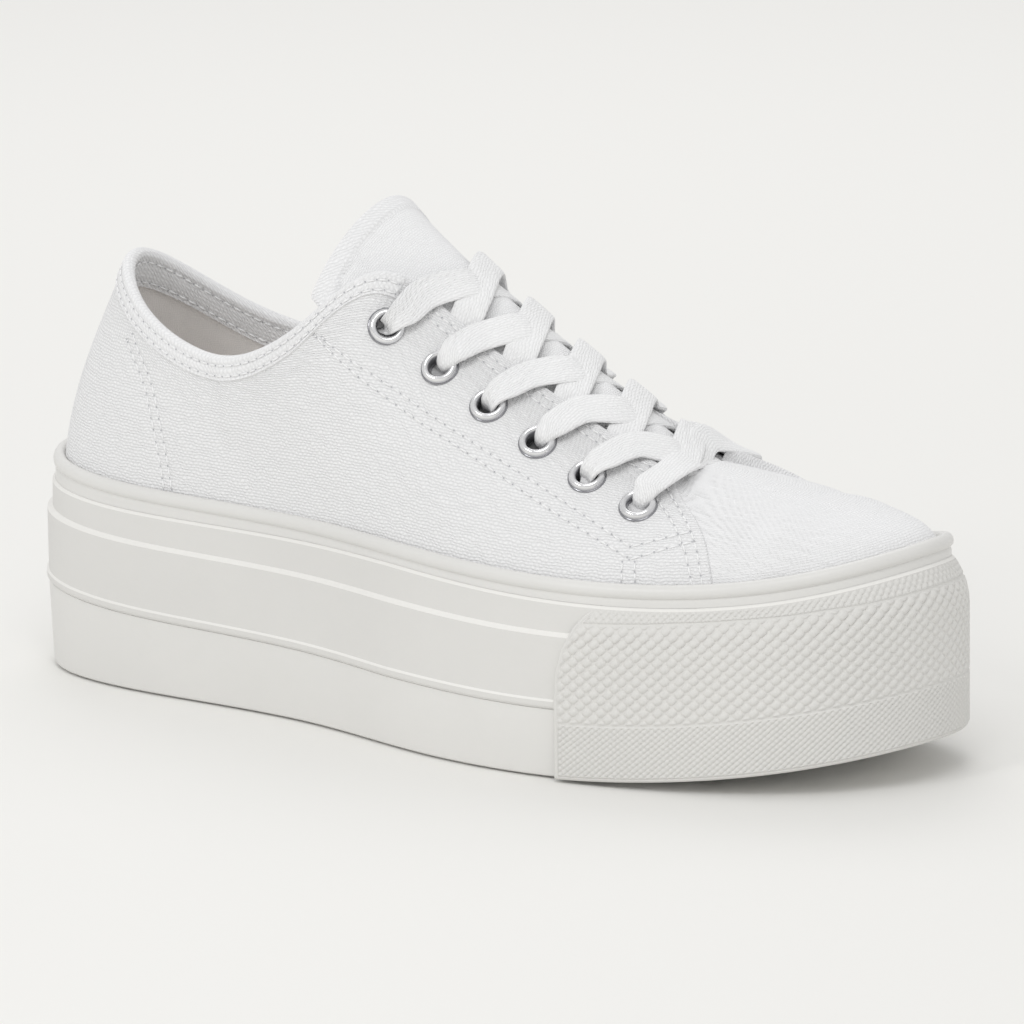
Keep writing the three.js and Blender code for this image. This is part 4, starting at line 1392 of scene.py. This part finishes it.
# %% The whole run of the lace
def hidden_end(spot, face, leaving):
    """A short tail inside, between the eyelet and the lining."""
    inside = spot["place"] - spot["normal"] * 3.4
    tail = [(inside - spot["rise"] * k, face * spot["normal"], w, LACE_THICK) for k, w in ((9, 8), (4, 6))]
    turn = (inside - spot["rise"] * 0.8, face * unit(spot["normal"] - spot["rise"]), 4.8, 2.1)
    return tail + [turn] if leaving else [turn] + tail[::-1]


def bar_stops(face):
    """The lowest bar, out of the outer eyelet, across, and down into the inner one."""
    last = EYELET_ROWS - 1
    (near, near_normal), (far, far_normal) = (
        edge_at(side, EYELET_FIRST + (last + k) * EYELET_PITCH) for side, k in ((-1, 0.06), (1, -0.13))
    )
    middle = (near + far) / 2 + UP * 2.3
    toeward = np.array([1.0, 0, 0])
    stops = out_of_eyelet(spots[-1, last], near, face)[0]
    stops.append((near + near_normal * 1.9, face * unit(near_normal + UP), LACE_WIDTH, LACE_THICK))
    stops.append((middle, face * unit(near_normal + far_normal + UP + 1.5 * toeward), LACE_WIDTH, LACE_THICK))
    turn = far + far_normal * 1.2 + UP * 3.1 - np.array([0.8, 2.8, 0])
    stops.append((turn, face * unit(far_normal + UP + 1.5 * toeward), LACE_WIDTH, LACE_THICK))
    return stops + into_eyelet(spots[1, last], far, face)


def into_eyelet(spot, came_from, face):
    """Stops over the ring and down into the bore: the way out, read backwards."""
    way, away = out_of_eyelet(spot, came_from, face)
    return way[::-1][:-1] + [(spot["place"] - spot["normal"] * 0.6 + away * 0.7, -face * away, 4.7, 2.0)]


def lace_run():
    face = 1.0
    stops = hidden_end(spots[1, 0], -face, True)
    side = 1
    for row in range(EYELET_ROWS - 1):
        stops += strip_stops(side, row, face)
        side, face = -side, -face
    stops += bar_stops(face)
    side, face = 1, -face
    for row in range(EYELET_ROWS - 2, -1, -1):
        side = -side
        stops += strip_stops(side, row, face)[::-1]
        face = -face
    return stops + hidden_end(spots[-1, 0], face, False)


stops = lace_run()
print("stops in the lace:", len(stops))


# %% The lace as a swept ribbon
def ribbon(stops, spacing):
    """Evenly spaced places, faces, widths and thicknesses along the stops."""
    table = np.array([np.concatenate([p, up, [w, th]]) for p, up, w, th in stops])
    fine = through(table, (len(table) - 1) * 24 + 1)
    run = run_along(fine[:, :3])
    at = np.linspace(0, run[-1], int(run[-1] / spacing) + 1)
    return np.stack([np.interp(at, run, fine[:, k]) for k in range(8)], -1), run[-1]


path, lace_length = ribbon(stops, 1.0 if fine_cloth else 1.6)
tangent = unit(np.gradient(path[:, :3], axis=0))
wide = unit(np.cross(path[:, 3:6], tangent))
for _ in range(3):
    wide = unit(wide + np.roll(wide, 1, 0) * 0.5 + np.roll(wide, -1, 0) * 0.5)
thick_way = unit(np.cross(tangent, wide))
print("lace on the shoe:", round(lace_length), "mm, rings:", len(path))


# %% Its section and its mesh
LACE_AROUND = 20  # squares round the section


def lace_place(a, b):
    i = np.rint(a * (len(path) - 1)).astype(int)
    angle = b * 2 * math.pi
    c, s = np.cos(angle), np.sin(angle)
    width, thick = path[i, 6], path[i, 7]
    end = np.where((i == 0) | (i == len(path) - 1), 0.02, 1.0)
    across = np.sign(c) * np.abs(c) ** 0.42 * width / 2 * end
    up = np.sign(s) * np.abs(s) ** 0.75 * thick / 2 * end
    bunched = np.clip((LACE_WIDTH - width) / 4, 0, 1)
    up = up + bunched * 0.9 * (across / (width / 2)) ** 2
    return path[i, :3] + wide[i] * across[:, None] + thick_way[i] * up[:, None]


lace = lay_grid("lace", len(path) - 1, LACE_AROUND, lace_place)
close_up(lace, 0.05)
complete(lace, 70, lace_cloth)

# %% [markdown]
# ## The collar's binding
# A soft tape is folded over the collar and sewn through with two rows. It wraps the edge from the first
# eyelet on one side, round the heel, to the first eyelet on the other, and it is what the hand feels first.

# %% The collar tape
TAPE_TO = 0.2375  # u where the tape ends under the first strips
TAPE_OUT, TAPE_IN, TAPE_DEPTH, TAPE_INSIDE = 4.6, 9.0, -1.0, 2.7
TAPE_RADIUS = (TAPE_INSIDE - TAPE_DEPTH) / 2
tape_turn = math.pi * TAPE_RADIUS
tape_rows = steps((-TAPE_OUT - 0.35, -TAPE_OUT, 1), (-TAPE_OUT, 0, 10), (0, tape_turn, 12))
tape_rows = np.append(tape_rows, steps((tape_turn, tape_turn + TAPE_IN, 14))[1:])
tape_rows = np.append(tape_rows, [tape_turn + TAPE_IN + 0.35])
TAPE_COLUMNS = 420 if fine_cloth else 240
TAPE_SEWN = (-0.9, -3.6, tape_turn + 1.4, tape_turn + 7.6)  # w of its four rows
TAPE_STITCH, TAPE_LIP = 3.0, 0.75


def tape_row(w):
    """Needle holes along the tape at w, from end to end round the heel."""

    def at_w(u):
        return over_top(u, np.full_like(u, w), TAPE_DEPTH, TAPE_INSIDE)

    walk = np.linspace(0.002 - TAPE_TO, TAPE_TO - 0.002, 900)
    run = run_along(at_w(walk))
    return at_w(np.interp(np.linspace(0, run[-1], int(run[-1] / TAPE_STITCH)), run, walk))


tape_needles = [tape_row(w) for w in TAPE_SEWN]
print("needle holes in the tape:", sum(len(row) for row in tape_needles))


# %% Laying the tape
def tape_place(a, b):
    u = -TAPE_TO + 2 * TAPE_TO * a
    w = pick(tape_rows, b)
    place = over_top(u, w, TAPE_DEPTH, TAPE_INSIDE)
    normal = face_ways(u, below_top(u, np.maximum(0, np.where(w < 0, -w, w - tape_turn))))[2]
    outside, inside = w < -TAPE_OUT, w > tape_turn + TAPE_IN
    drop = TAPE_LIP * (outside * 1.0 - inside * 1.0)
    near_row = np.min([np.abs(w - at) for at in TAPE_SEWN], axis=0)
    pressed = 0.22 * np.exp(-((near_row / 0.7) ** 2))
    pinch = 0.16 * np.exp(-((nearest(place, np.vstack(tape_needles)) / 0.8) ** 2))
    sign = np.where(w > tape_turn / 2, -1.0, 1.0)
    ends = TAPE_LIP * np.clip((np.abs(a - 0.5) - 0.4985) / 0.0015, 0, 1)
    return place - normal * (drop + sign * (pressed + pinch + ends))[:, None]


collar_tape = lay_grid("collar_tape", TAPE_COLUMNS, len(tape_rows) - 1, tape_place)
complete(collar_tape, 60, tape_cloth)

# %% [markdown]
# ## The heel strip
# A narrow strip of the same canvas covers the back seam, where the two quarters meet. It is a small grid
# with its borders turned in.

# %% The heel strip
STRIP_FOOT, STRIP_HEAD = 0.0165, 0.0125  # half its width, in u
STRIP_DEPTH, STRIP_TOP = -0.95, 1.2


def heel_strip_place(a, b):
    mm = (1 - b) * wall_height(np.zeros_like(a)) + b * STRIP_TOP
    u = (2 * a - 1) * (STRIP_FOOT + (STRIP_HEAD - STRIP_FOOT) * b)
    v = below_top(u, mm)
    border = np.clip((np.abs(2 * a - 1) - 0.93) / 0.07, 0, 1)
    return skin(u, v, STRIP_DEPTH + 0.7 * border**2)


heel_strip = lay_grid("heel_strip", 36, 70, heel_strip_place)
complete(heel_strip, 60, canvas)

# %% [markdown]
# ## Stitches
# A stitch is a short length of thread that comes up through one hole and goes down the next. One is modelled
# from a small sphere, stretched; the rows then place copies of its corners along the seams, all in one mesh.
# The needle holes are tiny cones of shade between them.


# %% One stitch, and rows of them
def stitch_form():
    ball = fresh(bpy.ops.mesh.primitive_uv_sphere_add, "ball", segments=6, ring_count=6, radius=1)
    form = corners(ball)
    faces = [list(face.vertices) for face in ball.data.polygons]
    bpy.data.objects.remove(ball)
    # the ball's poles become the two ends of the stitch, which dip into the cloth
    along, flat, up = form[:, 2], form[:, 0], form[:, 1]
    length = 1.15 * np.sign(along) * np.abs(along) ** 0.8
    return np.stack([length, flat * 0.27, up * 0.2 - 0.22 * np.abs(along) ** 3], -1), faces


def many(name, form, faces, frames, material):
    """One mesh of copies of a form, each in a frame (place, along, across, up), in mm."""
    place, along, across, up = (ways[:, None] for ways in frames)
    copies = place + form[None, :, :1] * along + form[None, :, 1:2] * across + form[None, :, 2:] * up
    mesh = bpy.data.meshes.new(name)
    offsets = [[corner + k * len(form) for corner in face] for k in range(len(copies)) for face in faces]
    mesh.from_pydata((copies.reshape(-1, 3) * MM).tolist(), [], offsets)
    piece = bpy.data.objects.new(name, mesh)
    bpy.context.scene.collection.objects.link(piece)
    dress(piece, material)
    smooth(piece, 80)
    return piece


stitch, stitch_faces = stitch_form()
print("one stitch has", len(stitch_faces), "faces")


# %% Frames for stitches between holes
def row_frames(holes, normals, height):
    """A frame halfway between each pair of neighbouring holes."""
    middle = (holes[1:] + holes[:-1]) / 2
    along = holes[1:] - holes[:-1]
    length = np.linalg.norm(along, axis=1, keepdims=True)
    along = along / length
    up = unit(normals[1:] + normals[:-1])
    across = unit(np.cross(up, along))
    return middle + up * height, along * (length / PITCH), across, up


def gather(rows):
    return [np.vstack(column) for column in zip(*rows)]


def side_rows():
    stitches, holes = [], []
    for line in needle_uv.values():
        u, v = line.T
        normal = face_ways(u, v)[2]
        place = skin(u, v, QUARTER_DEPTH) + normal * far_lift(u, v)[:, None]
        stitches.append(row_frames(place, normal, -0.02))
        holes.append((place, normal))
    return stitches, holes


def tape_frames():
    stitches, holes = [], []
    for row in tape_needles:
        normal = tape_normals(row)
        stitches.append(row_frames(row, normal, 0.02))
        holes.append((row, normal))
    return stitches, holes


def tape_normals(row):
    """Outwards on the outside rows, inwards on the inside ones, from the nearest place on the edge."""
    u = np.linspace(-TAPE_TO, TAPE_TO, 1200)
    edge, normal = upper_face(u, below_top(u, TAPE_RADIUS)), face_ways(u, below_top(u, TAPE_RADIUS))[2]
    core = edge - normal * (TAPE_DEPTH + TAPE_RADIUS)
    gap = (row**2).sum(1)[:, None] + (core**2).sum(1)[None] - 2 * row @ core.T
    k = gap.argmin(1)
    sign = np.sign(((row - core[k]) * normal[k]).sum(1))
    return normal[k] * sign[:, None]


side_stitches, side_holes = side_rows()
tape_stitches, tape_hole_rows = tape_frames()
print("stitch rows:", len(side_stitches) + len(tape_stitches))


# %% Thread and holes as two meshes
def hole_form():
    """A shallow cone of shade, its rim on the cloth."""
    sides, radius = 7, 0.25
    angle = np.arange(sides) * 2 * math.pi / sides
    rim = np.stack([radius * np.cos(angle), radius * np.sin(angle), np.full(sides, 0.06)], -1)
    form = np.vstack([rim, [[0, 0, 0.02]]])
    return form, [[k, (k + 1) % sides, sides] for k in range(sides)]


def hole_frames(rows):
    place, up = gather(rows)
    along = unit(np.cross(up, np.broadcast_to(UP, up.shape) + 1e-3))
    return place, along, np.cross(up, along), up


stitches = many("seam_thread", stitch, stitch_faces, gather(side_stitches + tape_stitches), stitch_thread)
dot, dot_faces = hole_form()
holes = many("needle_holes", dot, dot_faces, hole_frames(side_holes + tape_hole_rows), needle_hole)
say(stitches)
say(holes)

# %% [markdown]
# ## The toe bumper
# The bumper is a second layer of rubber round the toe, moulded with a diamond tread: strong grooves rising
# forwards, weaker ones falling, coarse in the middle, fine on the shoulder and along the foot. It is made as
# a smooth shell with a raised rim, and on it three sheets of pillows. A texture could only pretend such
# grooves, and this one shows in the outline of the toe.

# %% The bumper's own map of the wall
BUMPER = {"proud": 2.0, "floor": 1.7, "start": 56.0, "run": 16.3, "fall": 25.0, "top": 47.2}
BUMPER_SHOULDER, SHOULDER_HEIGHT, BUMPER_ROUND, BUMPER_BOTTOM, RIM = 4.2, 13.0, 0.8, 0.6, 1.0


def walk_at(x, inner=False):
    walk = np.linspace(0.25, 0.5, 2001)
    walk = 1 - walk if inner else walk
    return float(np.interp(x, edge_x(walk), walk))


bumper_walk = np.linspace(walk_at(BUMPER["start"]), walk_at(BUMPER["start"], True), 1601)
bumper_line = wall(bumper_walk, -BUMPER["proud"], 0.0)
bumper_arc = run_along(bumper_line)
ARC = float(bumper_arc[-1])


def bumper_u(arc):
    return np.interp(arc, bumper_arc, bumper_walk)


def bumper_top(u):
    return line_z(u) - 0.05


def bumper_bottom(u):
    return ground_z(u) + BUMPER_BOTTOM


def rounded(distance, radius):
    k = np.clip(1 - distance / radius, 0, 1)
    return radius * (1 - np.sqrt(1 - k * k))


def bumper_place(arc, z, proud):
    u = bumper_u(arc)
    shoulder = np.clip(1 - (bumper_top(u) - z) / SHOULDER_HEIGHT, 0, 1) ** 2.2
    inset = BUMPER_SHOULDER * shoulder + rounded(z - bumper_bottom(u), BUMPER_ROUND)
    return wall(u, (inset - proud)[..., None], z)


def back_edge(z, rim=0.0):
    """Arc length at which the bumper begins at height z: straight, then a quarter ellipse."""
    low = BUMPER["top"] - BUMPER["fall"]
    k = np.clip((z - low) / (BUMPER["fall"] - rim), 0, 1)
    return BUMPER["run"] - (BUMPER["run"] - rim) * np.sqrt(1 - k * k)


print("bumper length round the toe:", round(ARC, 1), "mm")

# %% The smooth shell
SHELL_ROWS = [(0, 0.9, 0.3), (0, 0, 1.0), (0, 0, 1.8), (0, 0.1, 1.85), (0, 0.4, 1.85), (0, 0.75, 1.85)]
SHELL_ROWS += [(0, 0.95, 1.7), (0.15, 0, 1.7), (0.3, 0, 1.7), (0.45, 0, 1.7), (0.6, 0, 1.7), (0.75, 0, 1.7)]
SHELL_ROWS += [(0.88, 0, 1.7), (1, -2.6, 1.7), (1, -1.9, 1.7), (1, -1.3, 1.7), (1, -0.8, 1.7), (1, -0.4, 1.7)]
SHELL_ROWS += [(1, -0.28, 1.85), (1, -0.12, 1.85), (1, 0, 1.8), (1, -0.2, 1.2), (1, -1.2, 0.3), (0, 0.9, 0.3)]
END_STEPS = np.array([0.0, 0.0, 0.12, 0.4, 0.9, 1.1])
END_PROUD = np.array([0.3, 1.2, 1.65, 1.82, 1.82, 1.7])
SHELL_COLUMNS = 260


def shell_place(a, b):
    rows = np.array(SHELL_ROWS)[np.rint((1 - b) * (len(SHELL_ROWS) - 1)).astype(int)]
    k = np.rint(a * SHELL_COLUMNS).astype(int)
    from_end = np.minimum(k, SHELL_COLUMNS - k)
    near = from_end < len(END_STEPS)
    step = END_STEPS[np.minimum(from_end, len(END_STEPS) - 1)]
    guess = ARC * a
    for _ in range(3):
        u = bumper_u(guess)
        low, high = bumper_bottom(u), bumper_top(u)
        z = low + rows[:, 0] * (high - low) + rows[:, 1]
        start = back_edge(z)
        inner = start + END_STEPS[-1]
        spread = (k - len(END_STEPS) + 1) / (SHELL_COLUMNS - 2 * (len(END_STEPS) - 1))
        middle = inner + (ARC - 2 * inner) * spread
        ends = np.where(k < SHELL_COLUMNS / 2, start + step, ARC - start - step)
        guess = np.where(near, ends, middle)
    proud = np.where(near, END_PROUD[np.minimum(from_end, len(END_STEPS) - 1)], rows[:, 2])
    proud = np.where(rows[:, 2] < 1.1, np.minimum(rows[:, 2], proud), proud)
    return bumper_place(guess, z, proud)


bumper_shell = lay_grid("bumper_shell", SHELL_COLUMNS, len(SHELL_ROWS) - 1, lambda a, b: shell_place(a, 1 - b))
close_up(bumper_shell)
complete(bumper_shell, 50, bumper_rubber)

# %% [markdown]
# A sheet of pillows starts as a flat grid whose lines lie close together at each groove. Turned on its
# corner it becomes a diamond lattice; bisect trims it to a strip and to the bumper's rounded corner; and
# only then is it laid on the wall, each corner as high as its place between the grooves says.

# %% The borders between coarse and fine
SEAM_RISE = 15.3
TRIM = 0.12  # mm left out along a strip's borders
GROOVE_WIDTH, GROOVE_POWER = 0.26, 1.4  # of a diamond, and how sharply it goes down
UPPER_BORDER = columns("x drop", [(56, 5.3), (62, 4.7), (88, 3.5), (102, 3.4), (121, 4.05), (130, 5.0), (137, 5.4)])


def lower_seam(u):
    return ground_z(u) + SEAM_RISE


def upper_seam(u):
    return line_z(u) - np.interp(edge_x(u), UPPER_BORDER["x"], UPPER_BORDER["drop"])


def cut(piece, point, normal, clear=True):
    with editing(piece):
        bpy.ops.mesh.bisect(
            plane_co=Vector(point) * MM, plane_no=Vector(normal).normalized(), clear_outer=clear, threshold=1e-7
        )


print("lower seam at the toe:", lower_seam(0.5), "upper:", upper_seam(0.5))


# %% A sheet of pillows
def pillow_sheet(name, low, high, size, cuts, grooves):
    """low, high: border heights along the walk; size: a diamond's width and height; grooves: rising, falling."""
    wide, tall = size
    mean = float(np.mean(high(bumper_walk) - low(bumper_walk)))
    tall = mean / round(mean / tall)
    cells = int(math.ceil(ARC / wide + mean / tall)) + 1
    lines = np.append((np.arange(cells)[:, None] + np.array(cuts)[None]).ravel(), cells)
    count = len(lines) - 1
    sheet = fresh(bpy.ops.mesh.primitive_grid_add, name, x_subdivisions=count, y_subdivisions=count, size=1)
    index = np.rint((corners(sheet)[:, :2] + 0.5) * count).astype(int)
    q, p = lines[index[:, 0]] - round(mean / tall), lines[index[:, 1]]
    flat = np.stack([wide * (p + q) / 2, tall * (p - q) / 2, 0 * p], -1)
    move_corners(sheet, flat * MM)
    for point, normal in (
        ((RIM, 0, 0), (-1, 0, 0)),
        ((ARC - RIM, 0, 0), (1, 0, 0)),
        ((0, TRIM, 0), (0, -1, 0)),
        ((0, mean - TRIM, 0), (0, 1, 0)),
    ):
        cut(sheet, point, normal)
    for at in (0.5, mean - 0.5):
        cut(sheet, (0, at, 0), (0, 1, 0), clear=False)
    flat = corners(sheet) / MM
    u = bumper_u(flat[:, 0])
    share = flat[:, 1] / mean
    z = low(u) + share * (high(u) - low(u))
    move_corners(sheet, np.stack([flat[:, 0], z, share * mean], -1) * MM)
    centre = BUMPER["top"] - BUMPER["fall"]
    if z.max() > centre:
        radii = BUMPER["run"] - RIM, BUMPER["fall"] - RIM
        for degrees in range(96, 178, 9):
            c, s = math.cos(math.radians(degrees)), math.sin(math.radians(degrees))
            for at, sign in ((BUMPER["run"], 1), (ARC - BUMPER["run"], -1)):
                point = at + sign * radii[0] * c, centre + radii[1] * s, 0
                cut(sheet, point, (sign * c / radii[0], s / radii[1], 0))
    arc, z, across = (corners(sheet) / MM).T
    rising, falling = arc / wide - across / tall, arc / wide + across / tall
    height = 0
    for line, depth in ((rising, grooves[0]), (falling, grooves[1])):
        height = height - depth * np.clip(1 - np.abs(line - np.rint(line)) / GROOVE_WIDTH, 0, 1) ** GROOVE_POWER
    edge = np.minimum(across - TRIM, mean - TRIM - across)
    ends = np.minimum(arc, ARC - arc) - back_edge(z, RIM)
    border = np.clip(np.minimum(edge, ends) / 0.38, 0, 1)
    level = BUMPER["proud"] + 0.15 + height
    proud = BUMPER["floor"] - 0.06 + (level - BUMPER["floor"] + 0.06) * border
    move_corners(sheet, bumper_place(arc, z, proud) * MM)
    complete(sheet, 60, bumper_rubber)
    return sheet


COARSE_CUTS, FINE_CUTS = (0, 0.11, 0.27, 0.73, 0.89), (0, 0.27, 0.73)
coarse_pillows = pillow_sheet("tread_coarse", lower_seam, upper_seam, (3.8, 3.28), COARSE_CUTS, (0.64, 0.4))
fine_pillows = pillow_sheet(
    "tread_fine", lambda u: bumper_bottom(u) + 0.8, lower_seam, (2.0, 1.5), FINE_CUTS, (0.27, 0.24)
)
shoulder_pillows = pillow_sheet(
    "tread_shoulder", upper_seam, lambda u: bumper_top(u) - 0.3, (2.05, 1.7), FINE_CUTS, (0.34, 0.32)
)

# %% [markdown]
# ## The insole
# A thin bed of the lining cloth lies inside on the sole, its edge a little turned up. It is seen only from
# above, so a drum with a bevelled rim is enough.

# %% The insole
INSOLE_MARGIN, INSOLE_THICK = 2.6, 3.2
insole_inset = FOOT_INSET + INSIDE + INSOLE_MARGIN
insole = drum(
    "insole_bed",
    [
        (insole_inset + 1.0, line_z, GAP),
        (insole_inset, line_z, GAP + 1.0),
        (insole_inset, line_z, GAP + INSOLE_THICK),
        (insole_inset + 5, line_z, GAP + INSOLE_THICK - 0.8),
    ],
    across=24,
)
soften(insole, 0.8, 30, 3)
complete(insole, 50, lining_cloth)

# %% Riding and replacing
RIDES = [
    (midsole, "sole_rubber", ["midsole"]),
    (outsole, "sole_rubber", ["outsole"]),
    (welt, "welt_rubber", ["welt"]),
    (bumper_shell, "bumper_rubber", ["toe_bumper"]),
    (coarse_pillows, "bumper_rubber", []),
    (fine_pillows, "bumper_rubber", []),
    (shoulder_pillows, "bumper_rubber", []),
    (insole, "lining", ["insole"]),
    (quarter_outer, "canvas", ["upper"]),
    (quarter_inner, "canvas", []),
    (vamp, "canvas", []),
    (lining, "lining", []),
    (collar_tape, "canvas", []),
    (heel_strip, "canvas", []),
    (stitches, "canvas", []),
    (holes, "canvas", []),
    (tongue, "canvas", ["tongue"]),
    (lace, "lace", ["lace_bar"] + [f"lace_crossing_{k}" for k in range(1, EYELET_ROWS)]),
]
for (side, row), ring in rings.items():
    RIDES.append((ring, "eyelet_metal", [f"eyelet_{'inner' if side > 0 else 'outer'}_{row + 1}"]))
for piece, slot, nodes in RIDES:
    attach(piece, "root")
    if nodes:
        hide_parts(*nodes)
print("pieces riding:", len(RIDES))

# %% [markdown]
# ## Floor, light and camera
# The room is one soft pale studio: a wide floor, a bright even sky, a soft key lamp high on the heel's side, so
# that every groove of the tread has a lit and a shaded flank, two weak fills, and a low camera with a long
# lens, so that the shoe stays nearly free of perspective.

# %% The floor
SHEET = 6.0  # metres
PAPER = (0.885, 0.878, 0.853, 1.0)
PALER = {"near": 0.955, "far": 1.095, "from": -0.3, "to": 1.3}  # tone, and where it changes, in metres
floor = fresh(bpy.ops.mesh.primitive_plane_add, "floor", size=SHEET, location=(0, 0, 0))
paper = Finish("studio_paper")
away = paper.node("ShaderNodeSeparateXYZ", {"Vector": paper.place("Object", turn=math.radians(-36.0))})
depth = {"Value": away.outputs["Y"], "From Min": PALER["from"], "From Max": PALER["to"], "To Min": 0.0, "To Max": 1.0}
tone = paper.blend(
    paper.node("ShaderNodeMapRange", depth).outputs[0], shade(PAPER, PALER["near"]), shade(PAPER, PALER["far"])
)
dress(floor, paper.wear(Base_Color=tone, Roughness=0.85))
print("floor:", SHEET, "m square")

# %% The light
world = bpy.data.worlds.new("studio_sky")
bpy.context.scene.world = world
world.use_nodes = True
sky = world.node_tree.nodes["Background"]
sky.inputs["Color"].default_value = (1.0, 1.0, 1.0, 1.0)
sky.inputs["Strength"].default_value = 0.71


LAMP_AIM = Vector((0, 0, 0.05))


def lamp(name, place, size, power):
    light = fresh(bpy.ops.object.light_add, name, type="AREA", location=place)
    light.data.shape, light.data.size, light.data.energy = "DISK", size, power
    light.rotation_euler = (LAMP_AIM - Vector(place)).to_track_quat("-Z", "Y").to_euler()


lamp("key", (-0.2, -1.26, 0.9), 0.45, 3.2)
lamp("front_fill", (0.53, -0.73, 1.2), 0.7, 3.7)
lamp("far_fill", (-0.53, 0.73, 1.2), 0.9, 3.0)
print("sky, key and two fills on")

# %% The camera
AZIMUTH, ELEVATION, ROLL = 36.02, 12.65, -0.75  # degrees round from -Y, up from the floor, about its own axis
DISTANCE, LENS = 2.0, 271.2
CENTRE_SHIFT = (0.0253, -0.0244)


def set_camera():
    camera = fresh(bpy.ops.object.camera_add, "portrait_camera")
    around, up = math.radians(AZIMUTH), math.radians(ELEVATION)
    back = Vector((math.sin(around) * math.cos(up), -math.cos(around) * math.cos(up), math.sin(up)))
    camera.location = Vector((0, 0, 0.06)) + back * DISTANCE
    facing = (-back).to_track_quat("-Z", "Y").to_matrix().to_4x4()
    turned = facing @ Matrix.Rotation(math.radians(ROLL), 4, "Z")
    camera.rotation_euler = turned.to_euler()
    camera.data.lens, camera.data.sensor_width = LENS, 36.0
    camera.data.shift_x, camera.data.shift_y = CENTRE_SHIFT
    camera.data.clip_end = 20.0
    bpy.context.scene.camera = camera
    return camera


camera = set_camera()
bpy.context.scene.view_settings.view_transform = "Standard"
bpy.context.scene.view_settings.look = "None"
print("camera at", [round(c, 3) for c in camera.location])
